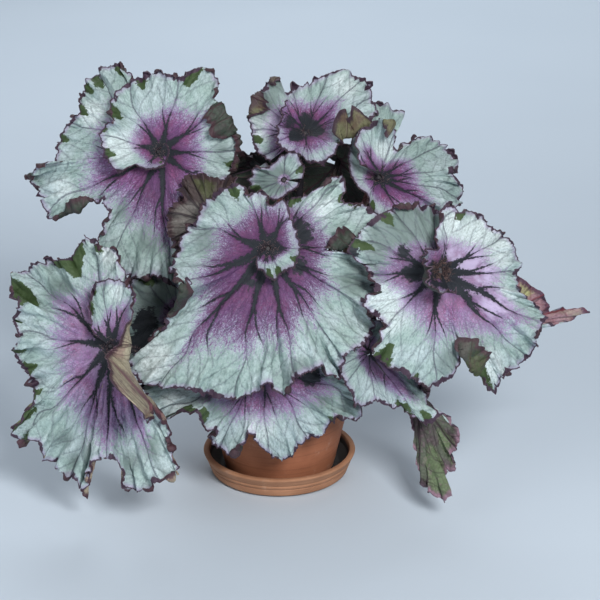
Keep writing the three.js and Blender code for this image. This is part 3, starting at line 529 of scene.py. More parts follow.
class Spiral:
    """The smooth sheet of one leaf, before its teeth, folds and relief."""

    def __init__(self, leaf: Leaf, sight: Sight) -> None:
        """Works the sheet out from the leaf's margin.

        Args:
            leaf: the leaf.
            sight: the photograph's camera.
        """
        azimuth, elevation = (math.radians(angle) for angle in leaf.faces)
        level = math.cos(elevation)
        self.leaf = leaf
        self.sight = sight
        self.normal = np.array([math.sin(azimuth) * level, -math.cos(azimuth) * level, math.sin(elevation)])
        self.across = unit(np.cross([0.0, 0.0, 1.0], self.normal))
        self.up = np.cross(self.normal, self.across)
        if leaf.depth is None:
            self.hub = np.array(leaf.hub, dtype=float)
            self.start = FAR_START if leaf.hand > 0 else 180 - FAR_START
            spokes = [Spoke(row[0], row[1] * leaf.size, row[2], row[3]) for row in FAR_MARGIN]
        else:
            self.hub = sight.at_depth(leaf.hub[0], leaf.hub[1], leaf.depth)
            spokes = self._measured()
        self.known = np.array([spoke.turned for spoke in spokes])
        self.lengths = np.array([spoke.length for spoke in spokes])
        self.tilts = np.array([spoke.tilt for spoke in spokes])
        self.curls = np.array([spoke.curl for spoke in spokes])
        self.sweep = float(self.known[-1])
        self._survey()

    def _measured(self) -> list[Spoke]:
        """Measures a leaf that the photograph shows.

        Returns:
            Its spokes, from the first margin point to the last.
        """
        leaf, sight = self.leaf, self.sight
        eye = np.array(sight.place)
        spokes = [Spoke(0.0, 40.0, row[2], row[3]) for row in leaf.margin]
        for _ in range(SWEEP_ROUNDS):
            sweep = spokes[-1].turned
            before: tuple[float, float] | None = None
            for spoke, row in zip(spokes, leaf.margin):
                out, rise, far_out, far_rise = spoke_run(spoke.tilt, spoke.curl)
                if spoke.curl > FOLD_BACK:
                    out, rise = far_out, far_rise
                line = sight.ray(row[0], row[1])
                angle = 0.0
                for _ in range(HEIGHT_ROUNDS):
                    height = leaf.coil * (sweep / 2 - spoke.turned) / 360 + rise * spoke.length
                    base = self.hub + self.normal * height
                    reach = (base - eye) @ self.normal / (line @ self.normal)
                    flat = eye + line * reach - base
                    angle = math.degrees(math.atan2(flat @ self.up, flat @ self.across))
                    spoke.length = max(float(np.linalg.norm(flat)) / out, SHORTEST_SPOKE)
                turned = 0.0
                if before is None:
                    self.start = angle
                else:
                    step = (leaf.hand * (angle - before[0]) + 120) % 360 - 120
                    turned = before[1] + max(step, LEAST_TURN)
                    angle = before[0] + leaf.hand * (turned - before[1])
                before = (angle, turned)
                spoke.turned = turned
        return spokes

    def length(self, turned: Array) -> Array:
        """How far the sheet reaches along its own surface."""
        return through(turned, self.known, self.lengths)

    def place(self, turned: Array, share: Array, longer: Array | float = 0.0) -> Array:
        """Places on the sheet.

        Args:
            turned: degrees from the sheet's first edge.
            share: 0 at the hub's middle, 1 at the margin.
            longer: how much farther out than the smooth margin the sheet goes there.

        Returns:
            The places, one a row.
        """
        length = self.length(turned) + longer
        tilt = through(turned, self.known, self.tilts)
        curl = through(turned, self.known, self.curls)
        out = np.zeros_like(turned)
        rise = np.zeros_like(turned)
        for i in range(PLACE_STEPS):
            along = share * (i + 0.5) / PLACE_STEPS
            angle = np.radians(tilt + curl * ease(along, BEND_FROM, BEND_FROM + BEND_SPAN))
            out += np.cos(angle) * share / PLACE_STEPS
            rise += np.sin(angle) * share / PLACE_STEPS
        height = self.leaf.coil * (self.sweep / 2 - turned) / 360 + rise * length
        angle = np.radians(self.start + self.leaf.hand * turned)
        flat = (out * length * np.cos(angle))[:, None] * self.across
        flat += (out * length * np.sin(angle))[:, None] * self.up
        return self.hub + flat + height[:, None] * self.normal

    def upward(self, turned: Array, share: Array) -> Array:
        """The direction in which the sheet's upper side faces, at each place."""
        along = self.place(turned, share + 0.01) - self.place(turned, share - 0.01)
        around = self.place(turned + 0.6, share) - self.place(turned - 0.6, share)
        return unit(np.cross(along, around)) * self.leaf.hand

    def _survey(self) -> None:
        """Keeps where the photograph shows a net of places on the sheet."""
        turned, share = np.meshgrid(np.arange(0, self.sweep, 1.0), np.linspace(0.04, 1, 70))
        self.net = np.stack([turned.ravel(), share.ravel()], axis=1)
        self.seen, self.away = self.sight.pixels(self.place(self.net[:, 0], self.net[:, 1]))

    def find(self, across: float, down: float) -> tuple[float, float]:
        """The place on the sheet that the photograph shows at a pixel.

        Args:
            across: the pixel's column.
            down: the pixel's row.

        Returns:
            Degrees turned, and how far out in mm.
        """
        off = np.hypot(self.seen[:, 0] - across, self.seen[:, 1] - down)
        near = np.where(off < max(2.0, off.min() + 0.5), self.away, np.inf)
        turned, share = self.net[int(np.argmin(near))]
        return float(turned), float(share * self.length(np.array([turned]))[0])


class Venation:
    """Where the veins, the flush and the green spots of one leaf lie on its sheet."""

    def __init__(self, spiral: Spiral) -> None:
        """Finds the veins and the edge of the flush.

        Args:
            spiral: the leaf's sheet.
        """
        self.spiral = spiral
        leaf = spiral.leaf
        found = sorted(spiral.find(*pixel)[0] for pixel in leaf.veins)
        if not found:
            peaks = [row[0] for row in FAR_MARGIN if row[3] <= -10]
            found = [20.0, 95.0, 140.0, *peaks]
        veins = [found[0]]
        for turned in found[1:]:
            gap = turned - veins[-1]
            if gap < NARROW_GAP:
                continue
            extra = int(gap // WIDE_GAP)
            veins.extend(veins[-1] + gap * (i + 1) / (extra + 1) for i in range(extra))
            veins.append(turned)
        before = np.arange(veins[0] - VEIN_STEP, -60, -VEIN_STEP)[::-1]
        after = np.arange(veins[-1] + VEIN_STEP, spiral.sweep + 60, VEIN_STEP)
        self.veins = np.concatenate([before, veins, after])
        edge = sorted(spiral.find(*pixel) for pixel in leaf.flush)
        if len(edge) > 1:
            self.edge_at = np.array([turned for turned, _ in edge]) + np.arange(len(edge)) * 1e-4
            self.edge = np.array([radius for _, radius in edge])
        else:
            self.edge_at = np.linspace(0, spiral.sweep, 60)
            self.edge = 0.5 * spiral.length(self.edge_at)

    def lobe(self, turned: Array, radius: Array) -> Array:
        """A count of the veins passed: a whole number on each vein, with a little sway outward."""
        count = np.interp(turned, self.veins, np.arange(len(self.veins)))
        sway = 0.05 * np.sin(radius / 17 + 1.7 * count) + 0.03 * np.sin(radius / 7.5 + 2.9 * count)
        return count + sway * ease(radius, 8, 45)

    def gap(self, turned: Array, radius: Array) -> Array:
        """The distance between the two veins beside a place, measured round the hub."""
        i = np.clip(np.searchsorted(self.veins, turned) - 1, 0, len(self.veins) - 2)
        return np.radians(np.diff(self.veins))[i] * radius

    def flush(self, turned: Array, radius: Array) -> Array:
        """How far out a place is, as a share of the flush's own reach there."""
        return radius / np.maximum(np.interp(turned, self.edge_at, self.edge), 5.0)

    def green(self, turned: Array, radius: Array) -> Array:
        """Finds the nearest green wedge.

        Args:
            turned: how many degrees each place has turned.
            radius: how far it is from the hub.

        Returns:
            How deep each place lies inside it, below 0 outside.
        """
        depth = np.full_like(turned, FAR_OUTSIDE)
        for across, down, size in self.spiral.leaf.green:
            at, out = self.spiral.find(across, down)
            aside = np.abs(np.radians(turned - at)) * radius
            past = radius - out + size
            wide = size * np.clip(0.3 + 0.42 * past / size, 0, 1.15)
            depth = np.maximum(depth, np.minimum(wide - aside, past))
        return depth

    def inside(self, spots: Rows, turned: Array, radius: Array) -> Array:
        """Finds the nearest of some round spots.

        Args:
            spots: each spot's pixel and its radius.
            turned: how many degrees each place has turned.
            radius: how far it is from the hub.

        Returns:
            How deep each place lies inside it, below 0 outside.
        """
        depth = np.full_like(turned, FAR_OUTSIDE)
        for across, down, size in spots:
            at, out = self.spiral.find(across, down)
            depth = np.maximum(depth, size - np.hypot(np.radians(turned - at) * radius, radius - out))
        return depth


# ---- Hand tools ----


def clear() -> None:
    """Leaves edit mode and deselects everything."""
    if bpy.context.object is not None and bpy.context.object.mode != "OBJECT":
        bpy.ops.object.mode_set(mode="OBJECT")
    bpy.ops.object.select_all(action="DESELECT")


def named(name: str) -> Piece:
    """Names the new object and its mesh.

    Args:
        name: the name.

    Returns:
        The object.
    """
    piece = bpy.context.object
    piece.name = name
    piece.data.name = name
    return piece


def use(piece: Piece) -> None:
    """Makes one piece the selected and active one."""
    clear()
    piece.select_set(True)
    bpy.context.view_layer.objects.active = piece


def vertices_of(piece: Piece) -> Array:
    """The places of a mesh's vertices, one a row, in its own units."""
    flat = np.empty(len(piece.data.vertices) * 3)
    piece.data.vertices.foreach_get("co", flat)
    return flat.reshape(-1, 3)


def put(piece: Piece, places: Array) -> None:
    """Moves a mesh's vertices to places given in metres."""
    piece.data.vertices.foreach_set("co", places.ravel())
    piece.data.update()


def pick_faces(piece: Piece, wanted: Array) -> None:
    """Enters edit mode with only the wanted faces selected.

    Args:
        piece: the piece.
        wanted: True for each face to select.
    """
    use(piece)
    mesh = piece.data
    mesh.vertices.foreach_set("select", np.zeros(len(mesh.vertices), dtype=bool))
    mesh.edges.foreach_set("select", np.zeros(len(mesh.edges), dtype=bool))
    mesh.polygons.foreach_set("select", wanted)
    bpy.context.tool_settings.mesh_select_mode = (False, False, True)
    bpy.ops.object.mode_set(mode="EDIT")


def centres_of(piece: Piece) -> Array:
    """The middles of a mesh's faces, one a row."""
    flat = np.empty(len(piece.data.polygons) * 3)
    piece.data.polygons.foreach_get("center", flat)
    return flat.reshape(-1, 3)


def modify(piece: Piece, kind: str, **settings: object) -> None:
    """Adds a modifier and applies it.

    Args:
        piece: the piece.
        kind: the modifier's kind.
        settings: its fields.
    """
    use(piece)
    modifier = piece.modifiers.new(kind.title(), kind)
    for key, value in settings.items():
        setattr(modifier, key, value)
    bpy.ops.object.modifier_apply(modifier=modifier.name)


def smooth(piece: Piece, degrees: float) -> None:
    """Shades a piece smooth, but for edges sharper than an angle."""
    use(piece)
    bpy.ops.object.shade_smooth_by_angle(angle=math.radians(degrees))


def join(piece: Piece, parts: Sequence[Piece]) -> None:
    """Joins parts into a piece, which keeps its name.

    Args:
        piece: the piece.
        parts: the objects that become part of it.
    """
    use(piece)
    for part in parts:
        part.select_set(True)
    bpy.ops.object.join()


def note(piece: Piece, name: str, values: Array) -> None:
    """Writes one number a vertex, for the piece's material to read."""
    attribute = piece.data.attributes.new(name=name, type="FLOAT", domain="POINT")
    attribute.data.foreach_set("value", values.astype(np.float32))


def seal() -> None:
    """Merges the doubles of the mesh in edit mode, turns its faces outward and leaves edit mode."""
    bpy.ops.mesh.select_all(action="SELECT")
    bpy.ops.mesh.remove_doubles(threshold=0.00001)
    bpy.ops.mesh.normals_make_consistent(inside=False)
    bpy.ops.object.mode_set(mode="OBJECT")


def turned_form(name: str, profile: Sequence[tuple[float, float]], sides: int) -> Piece:
    """Turns a clay form from its profile, ring by ring.

    Args:
        name: the piece's name.
        profile: radius and height of each ring, from one end round to the other. A radius of 0
            closes an end on the axis; a profile that ends where it starts is a ring.
        sides: how many sides the form has.

    Returns:
        The closed form.
    """
    rings = [(radius, height) for radius, height in profile if radius > 0]
    clear()
    first = rings[0]
    bpy.ops.mesh.primitive_circle_add(
        vertices=sides, radius=first[0] * MM, location=(0, 0, first[1] * MM),
        fill_type="NGON" if profile[0][0] == 0 else "NOTHING",
    )
    piece = named(name)
    bpy.ops.object.transform_apply(location=True, rotation=False, scale=False)
    bpy.ops.object.mode_set(mode="EDIT")
    bpy.context.tool_settings.mesh_select_mode = (False, True, False)
    bpy.ops.mesh.select_all(action="SELECT")
    if profile[0][0] == 0:
        bpy.ops.mesh.region_to_loop()
    for before, after in zip(rings, rings[1:]):
        bpy.ops.mesh.extrude_edges_move(
            TRANSFORM_OT_translate={"value": (0, 0, (after[1] - before[1]) * MM)}
        )
        grow = after[0] / before[0]
        bpy.ops.transform.resize(value=(grow, grow, 1), center_override=(0, 0, 0))
    if profile[-1][0] == 0:
        bpy.ops.mesh.edge_face_add()
    seal()
    return piece


# ---- Node tools ----


class Graph:
    """A node tree being built, with the few kinds of node that the finishes need."""

    def __init__(self, tree: Tree) -> None:
        """Starts on an empty or cleared tree."""
        self.tree = tree
        self.count = 0
        tree.nodes.clear()

    def node(self, kind: str, feeds: dict | None = None, **settings: object) -> bpy.types.Node:
        """Adds a node.

        Args:
            kind: its kind, without the first words of Blender's name for it.
            feeds: what goes into its sockets, by name or number: outputs or values.
            settings: its fields.

        Returns:
            The node.
        """
        made = self.tree.nodes.new(kind if kind.startswith("NodeGroup") else f"ShaderNode{kind}")
        made.location = (190 * (self.count % 14), -260 * (self.count // 14))
        self.count += 1
        for key, value in settings.items():
            setattr(made, key, value)
        for key, value in (feeds or {}).items():
            self.feed(made.inputs[key], value)
        return made

    def feed(self, socket: Socket, value: object) -> None:
        """Links an output to a socket, or sets the socket's own value."""
        if isinstance(value, bpy.types.NodeSocket):
            self.tree.links.new(value, socket)
        else:
            socket.default_value = value

    def sum(self, operation: str, *values: object) -> Socket:
        """One Math node on outputs or numbers."""
        return self.node("Math", dict(enumerate(values)), operation=operation).outputs[0]

    def times(self, first: object, second: object) -> Socket:
        """Their product."""
        return self.sum("MULTIPLY", first, second)

    def scaled(self, value: object, factor: object, start: object) -> Socket:
        """A value times a factor, plus a start."""
        return self.sum("MULTIPLY_ADD", value, factor, start)

    def plus(self, first: object, second: object) -> Socket:
        """Their sum."""
        return self.sum("ADD", first, second)

    def less(self, first: object, second: object) -> Socket:
        """The first less the second."""
        return self.sum("SUBTRACT", first, second)

    def most(self, first: object, second: object) -> Socket:
        """The greater of the two."""
        return self.sum("MAXIMUM", first, second)

    def step(self, value: object, low: object, high: object) -> Socket:
        """A smooth mask: 0 at low and 1 at high. Low may be the greater."""
        feeds = {"Value": value, "From Min": low, "From Max": high}
        return self.node("MapRange", feeds, interpolation_type="SMOOTHSTEP").outputs["Result"]

    def mix(self, share: object, first: object, second: object) -> Socket:
        """Mixes two colours by a share of the second."""
        first, second = (srgb(given) if isinstance(given, tuple) else given for given in (first, second))
        return self.node("Mix", {0: share, 6: first, 7: second}, data_type="RGBA").outputs[2]

    def read(self, name: str) -> Socket:
        """A number that the mesh carries at each vertex."""
        return self.node("Attribute", attribute_name=name).outputs["Fac"]

    def millimetres(self) -> Socket:
        """The place in the object, in millimetres."""
        here = self.node("TexCoord").outputs["Object"]
        return self.node("VectorMath", {0: here, "Scale": 1000.0}, operation="SCALE").outputs[0]

    def vector(self, x: object, y: object, z: object) -> Socket:
        """Three numbers as a vector."""
        return self.node("CombineXYZ", {0: x, 1: y, 2: z}).outputs[0]

    def noise(self, vector: object, scale: float, detail: float = 2.0, rough: float = 0.5) -> Socket:
        """Soft noise, with about scale features a unit of the vector."""
        feeds = {"Vector": vector, "Scale": scale, "Detail": detail, "Roughness": rough}
        return self.node("TexNoise", feeds).outputs["Fac"]

    def group(self, tree: Tree, **inputs: object) -> bpy.types.NodeOutputs:
        """Places a node group, with its own input values."""
        feeds = {name.replace("_", " "): value for name, value in inputs.items()}
        return self.node("Group", feeds, node_tree=tree).outputs


class Shader(Graph):
    """A material being built."""

    def __init__(self, name: str) -> None:
        """Starts the material with its main shader node.

        Args:
            name: the material's name.
        """
        self.material = bpy.data.materials.new(name)
        self.material.use_nodes = True
        super().__init__(self.material.node_tree)
        self.surface = self.node("BsdfPrincipled")
        self.colour: object = None
        self.node("OutputMaterial", {"Surface": self.surface.outputs[0]})

    def paint(self, tint: object, mask: object, strength: float = 1.0) -> None:
        """Lays a tint over the colour so far, where a mask says."""
        share = mask if strength == 1.0 else self.times(mask, strength)
        self.colour = self.mix(share, self.colour, tint)

    def dress(self, rough: object, height: object = None, strength: float = 1, rise: float = 1) -> Material:
        """Feeds the main shader with the colour so far and the rest.

        Args:
            rough: the roughness.
            height: the height of the surface's relief, if it has one.
            strength: how strongly the relief shows.
            rise: how far it stands out where height is 1.

        Returns:
            The finished material.
        """
        self.feed(self.surface.inputs["Base Color"], self.colour)
        self.feed(self.surface.inputs["Roughness"], rough)
        if height is not None:
            bump = self.node("Bump", {"Strength": strength, "Distance": rise * MM, "Height": height})
            self.feed(self.surface.inputs["Normal"], bump.outputs[0])
        return self.material


def effect(name: str, inputs: dict[str, float], outputs: Sequence[str]) -> tuple[Tree, Graph, dict]:
    """Starts a node group of masks.

    Args:
        name: the group's name.
        inputs: its inputs and what each is unless a material says otherwise.
        outputs: its outputs.

    Returns:
        The group, its graph, and its inner sockets by name: inputs to read and outputs to feed.
    """
    tree = bpy.data.node_groups.new(name, "ShaderNodeTree")
    for label in (*inputs, *outputs):
        way = "INPUT" if label in inputs else "OUTPUT"
        socket = tree.interface.new_socket(name=label, in_out=way, socket_type="NodeSocketFloat")
        if label in inputs:
            socket.default_value = inputs[label]
    graph = Graph(tree)
    source, sink = graph.node("NodeGroupInput"), graph.node("NodeGroupOutput")
    sockets = {label: source.outputs[label] for label in inputs}
    sockets.update({label: sink.inputs[label] for label in outputs})
    return tree, graph, sockets


# ---- Finishes ----


def vein_group() -> Tree:
    """The masks of a leaf's veins, shared by both faces of every blade.

    It reads the numbers that each blade carries: lobe, gap, radius and flush. A main vein runs where
    lobe is a whole number, starts broad at the hub, forks part of the way out, and sends side veins
    outward.

    Returns:
        The node group. Main, Side, Line, Thin and Net are masks, from the broad slate veins to the
        finest net, and Beside is the distance from a main vein.
    """
    inputs = {"Main Width": 2.5, "Star Width": 5.0, "Side Width": 1.0, "Barbs": 4.6}
    tree, g, at = effect("leaf veins", inputs, ("Main", "Side", "Line", "Thin", "Net", "Beside"))
    here = g.millimetres()
    rough = g.less(g.noise(here, 0.46, 4.0, 0.7), 0.5)
    barb = g.times(rough, at["Barbs"])
    lobe, radius, flush = g.read("lobe"), g.read("radius"), g.read("flush")
    vein = g.sum("ROUND", lobe)
    off = g.less(lobe, vein)
    hand = g.sum("SIGN", off)
    aside = g.times(g.sum("ABSOLUTE", off), g.read("gap"))
    seed = g.scaled(vein, 7.31, g.times(hand, 0.4))
    luck = g.node("TexWhiteNoise", {"W": seed}, noise_dimensions="1D").outputs["Value"]
    fade = g.most(g.less(1.08, flush), 0.0)
    star = g.times(g.sum("POWER", 2.718, g.times(flush, -4.2)), at["Star Width"])
    vigour = g.read("vigour")
    half = g.scaled(g.sum("POWER", fade, 1.2), at["Main Width"], star)
    half = g.times(half, vigour)
    ragged = g.times(barb, g.scaled(half, 0.55, 0.5))
    main = g.plus(g.less(aside, half), ragged)
    thin = g.times(g.times(g.sum("POWER", fade, 0.7), at["Side Width"]), vigour)
    # The fork: from a point part of the way out, one branch each side.
    reach = g.sum("DIVIDE", radius, g.most(flush, 0.02))
    past = g.less(radius, g.times(reach, g.scaled(luck, 0.26, 0.36)))
    fork = g.sum("ABSOLUTE", g.scaled(past, -0.34, aside))
    bare = g.most(g.sum("LESS_THAN", past, 0.0), g.sum("LESS_THAN", luck, 0.5))
    behind = g.times(bare, 50.0)
    fork = g.plus(g.scaled(fork, 0.94, behind), g.times(ragged, 0.8))
    # Side veins: they leave the main vein every so often and lean outward.
    lean = g.sum("DIVIDE", g.scaled(aside, -1.25, radius), 17.0)
    lean = g.sum("FRACT", g.scaled(luck, 3.0, lean))
    side = g.times(g.sum("ABSOLUTE", g.less(lean, 0.5)), 10.6)
    side = g.plus(side, g.times(barb, 0.9))
    wander = g.vector(g.times(rough, 2.2), g.times(rough, 2.0), rough)
    wander = g.node("VectorMath", {0: here, 1: wander}, operation="ADD").outputs[0]
    net = g.node("TexVoronoi", {"Vector": wander, "Scale": 0.27}, feature="DISTANCE_TO_EDGE")
    g.feed(at["Main"], g.step(main, 0.5, -0.4))
    g.feed(at["Side"], g.step(g.less(fork, thin), 0.55, -0.25))
    g.feed(at["Line"], g.step(g.scaled(barb, 0.5, aside), 1.15, 0.3))
    g.feed(at["Thin"], g.step(g.sum("MINIMUM", side, g.times(fork, 1.2)), 1.0, 0.1))
    g.feed(at["Net"], g.step(net.outputs["Distance"], 0.16, 0.0))
    g.feed(at["Beside"], aside)
    return tree


def clay_group() -> Tree:
    """The weathering of fired clay, shared by the pot and the saucer.

    Returns:
        The node group: Blotch is broad, Ring follows the turning, Grit is fine, and Bloom is where
        pale salts stand on the clay.
    """
    tree, g, at = effect("clay body", {"Ring Height": 1.6}, ("Blotch", "Ring", "Grit", "Bloom"))
    here = g.millimetres()
    x, y, z = g.node("SeparateXYZ", {0: here}).outputs
    wander = g.vector(g.times(x, 0.012), g.times(y, 0.012), g.sum("DIVIDE", z, at["Ring Height"]))
    g.feed(at["Blotch"], g.noise(here, 0.028, 4.0, 0.6))
    g.feed(at["Ring"], g.noise(wander, 1.0, 2.0))
    g.feed(at["Grit"], g.noise(here, 1.3, 3.0, 0.7))
    g.feed(at["Bloom"], g.step(g.noise(here, 0.06, 5.0, 0.65), 0.56, 0.74))
    return tree


@dataclass(frozen=True)
class UpperFinish:
    """The silver upper face, with its purple flush, slate veins and dark margin, and painted highlight and
    painted shade in given stretches.
    """

    mint: Colour = (157, 180, 176)
    pale: Colour = (181, 198, 201)
    # Painted highlight: the near-white silver of a leaf's lit stretches
    painted_highlight: Colour = (216, 228, 230)
    hatch: Colour = (104, 124, 122)
    # Painted shade: the grey-green that the silver takes in a leaf's shaded stretches
    dull: Colour = (92, 108, 104)
    line: Colour = (84, 88, 102)
    lilac: Colour = (158, 142, 176)
    orchid: Colour = (142, 114, 162)
    magenta: Colour = (126, 74, 130)
    rose: Colour = (140, 72, 120)
    plum: Colour = (72, 40, 78)
    slate: Colour = (30, 35, 43)
    hub: Colour = (26, 20, 32)
    # The real haze of a lightly flushed leaf, and also painted highlight on the flush of the lit stretches
    haze_and_highlight: Colour = (188, 174, 206)
    wine: Colour = (60, 41, 59)
    green: Colour = (56, 76, 40)
    moss: Colour = (34, 48, 30)

    def _silver(self, g: Graph, here: Socket, vein: bpy.types.NodeOutputs, streak: Socket) -> None:
        """Paints the silver ground, with painted highlight and painted shade in given stretches, and its
        hatching and faint veins.

        Args:
            g: the material's graph.
            here: the place in millimetres.
            vein: the vein group's outputs.
            streak: noise drawn out along the veins.
        """
        g.colour = g.mix(g.step(g.noise(here, 0.035, 2.0), 0.35, 0.68), self.mint, self.pale)
        # Painted highlight: the silver goes near white in the lit stretches.
        g.paint(self.painted_highlight, g.step(g.read("bright"), -7.0, 8.0), 0.8)
        # Painted shade: the silver goes grey-green in the shaded stretches.
        g.paint(self.dull, g.step(g.read("dull"), -8.0, 9.0), 0.75)
        g.paint(self.hatch, g.step(streak, 0.44, 0.72), 0.62)
        g.paint(self.hatch, vein["Net"], 0.22)
        g.paint(self.line, vein["Thin"], 0.36)
        g.paint(self.line, vein["Line"], 0.72)

    def material(self, veins: Tree) -> Material:
        """Makes the material.

        Args:
            veins: the vein group.

        Returns:
            The material.
        """
        g = Shader("leaf_upper")
        here = g.millimetres()
        radius, flush, edge = g.read("radius"), g.read("flush"), g.read("edge")
        vein = g.group(veins)
        streak_at = g.vector(g.times(g.read("turn"), 52.0), g.times(radius, 0.2), g.read("lobe"))
        streak = g.noise(streak_at, 1.0, 3.0, 0.62)
        fine = g.noise(here, 0.55, 3.0, 0.6)
        speck = g.noise(here, 0.95, 3.0, 0.75)
        self._silver(g, here, vein, streak)
        # The fringe inside the margin.
        fringe = g.times(g.step(g.scaled(fine, -6.0, edge), 4.5, -2.5), 0.7)
        g.paint(self.lilac, fringe)
        # The flush, feathered outward, and farther out along the veins.
        ragged = g.times(g.less(streak, 0.5), 1.0)
        star = g.times(g.step(vein["Beside"], 13.0, 0.0), -0.14)
        out = g.plus(g.plus(flush, ragged), g.plus(star, 0.05))
        spread = g.scaled(g.less(speck, 0.5), 0.9, out)
        g.paint(self.orchid, g.step(spread, 1.2, 0.86), 0.85)
        tint = g.mix(g.step(g.noise(here, 0.06, 2.0), 0.4, 0.62), self.magenta, self.rose)
        g.paint(tint, g.step(spread, 0.98, 0.55))
        g.paint(self.plum, g.step(spread, 0.62, 0.12), 0.8)
        deep = g.times(g.step(vein["Beside"], 8.0, 1.5), g.step(out, 0.95, 0.4))
        net = g.times(g.most(vein["Net"], vein["Thin"]), g.step(flush, 1.05, 0.8))
        g.paint(self.plum, g.most(deep, net), 0.6)
        # Painted shade also darkens the flush toward plum in the shaded stretches.
        shaded = g.times(g.step(g.read("dull"), -6.0, 9.0), g.step(spread, 1.05, 0.7))
        g.paint(self.plum, shaded, 0.6)
        flecks = g.times(g.step(speck, 0.55, 0.68), g.step(out, 0.35, 0.9))
        flecks = g.times(flecks, g.step(out, 1.3, 1.0))
        g.paint(self.pale, flecks, 0.6)
        # Paler streaks in the flush, how deep the leaf's own flush is, and painted highlight on the flush of
        # the lit stretches.
        flushed = g.step(spread, 1.1, 0.75)
        streaks = g.times(g.step(streak, 0.52, 0.68), g.step(flush, 0.3, 0.6))
        g.paint(self.orchid, g.times(streaks, flushed), 0.5)
        stain = g.read("stain")
        deeper = g.times(g.step(stain, 1.0, 2.0), 0.6)
        g.paint(self.plum, g.times(deeper, flushed))
        # Painted highlight in the lit stretches, with the real paleness of a lightly flushed leaf, both
        # toward the haze.
        paler = g.times(g.step(g.read("bright"), -7.0, 8.0), 0.85)
        paler = g.most(paler, g.times(g.step(stain, 1.0, 0.0), 0.8))
        cloud = g.step(g.noise(here, 0.07, 3.0), 0.38, 0.6)
        paler = g.times(paler, g.scaled(cloud, 0.85, 0.45))
        g.paint(self.haze_and_highlight, g.times(paler, flushed))
        # Slate veins, forked, inside the flush; slate blots, partly the leaf's own dark clots and partly
        # painted shade; and the dark hub.
        inside = g.step(flush, 1.15, 0.95)
        dark = g.most(vein["Main"], g.times(vein["Side"], g.step(flush, 0.25, 0.42)))
        dark = g.times(dark, inside)
        coarse = g.noise(here, 0.22, 3.0, 0.6)
        # Painted shade in part: besides real clots, the blots darken cup centres, gaps and leaves in shadow.
        slate_and_shade = g.scaled(g.less(streak, 0.5), 14.0, g.read("slate_and_shade"))
        slate_and_shade = g.step(g.scaled(g.less(coarse, 0.55), 16.0, slate_and_shade), -1.0, 3.0)
        g.paint(self.slate, g.most(dark, slate_and_shade))
        g.paint(self.hub, g.step(g.scaled(fine, 0.22, flush), 0.33, 0.2))
        # Green wedges, and the dark margin with its clots.
        spot = g.step(g.scaled(g.less(coarse, 0.5), 9.0, g.read("green")), 0.4, 1.5)
        leafy = g.mix(g.step(g.scaled(coarse, 8.0, edge), 9.0, 3.0), self.green, self.moss)
        g.paint(leafy, spot)
        clots = g.times(g.step(radius, 22.0, 60.0), 4.6)
        clots = g.times(g.step(g.noise(here, 0.075, 2.0), 0.47, 0.64), clots)
        band = g.less(g.less(edge, clots), g.times(fine, 2.6))
        g.paint(self.wine, g.step(band, 0.7, -0.5))
        groove = g.times(g.most(dark, vein["Line"]), -0.9)
        height = g.plus(groove, g.times(vein["Thin"], -0.45))
        height = g.scaled(vein["Net"], -0.2, height)
        height = g.plus(height, g.scaled(streak, 1.6, g.times(speck, 0.7)))
        return g.dress(g.scaled(streak, 0.3, 0.44), height, 0.8, 0.9)


@dataclass(frozen=True)
class UnderFinish:
    """The matte underside, with raised red veins."""

    tone: UnderTone
    inner: Colour
    outer: Colour
    patch: Colour
    spot: Colour
    vein: Colour = (66, 38, 46)
    wine: Colour = (54, 36, 48)
    lime: Colour = (132, 144, 96)

    def material(self, veins: Tree) -> Material:
        """Makes the material.

        Args:
            veins: the vein group.

        Returns:
            The material.
        """
        g = Shader(f"leaf_under_{self.tone.value}")
        here = g.millimetres()
        edge, flush = g.read("edge"), g.read("flush")
        vein = g.group(veins, Main_Width=1.0, Star_Width=1.6, Side_Width=0.5, Barbs=0.5)
        fine = g.noise(here, 0.5, 3.0, 0.6)
        g.colour = g.mix(g.step(g.plus(flush, fine), 0.9, 1.7), self.inner, self.outer)
        g.paint(self.patch, g.step(g.noise(here, 0.05, 3.0), 0.48, 0.62), 0.8)
        coarse = g.noise(here, 0.2, 3.0, 0.6)
        # In the stretches of painted shade the underside takes its spot colour: darker on most tones, paler
        # on the buff one.
        g.paint(self.spot, g.step(g.read("dull"), -4.0, 4.0))
        leafy = g.step(g.scaled(g.less(coarse, 0.5), 12.0, g.read("green")), -1.0, 3.0)
        g.paint(self.lime, leafy)
        g.paint(self.wine, g.step(coarse, 0.52, 0.66), 0.32)
        g.paint(self.wine, g.step(flush, 0.4, 0.22))
        lines = g.most(g.times(vein["Net"], 0.2), g.times(vein["Thin"], 0.45))
        lines = g.most(lines, g.times(vein["Line"], 0.9))
        g.paint(self.wine, g.step(g.scaled(fine, -8.0, edge), 3.4, -1.6))
        g.paint(self.vein, g.most(lines, g.most(vein["Main"], vein["Side"])))
        return g.dress(g.scaled(fine, 0.3, 0.5), g.plus(lines, g.times(fine, 0.5)), 0.9, 1.2)


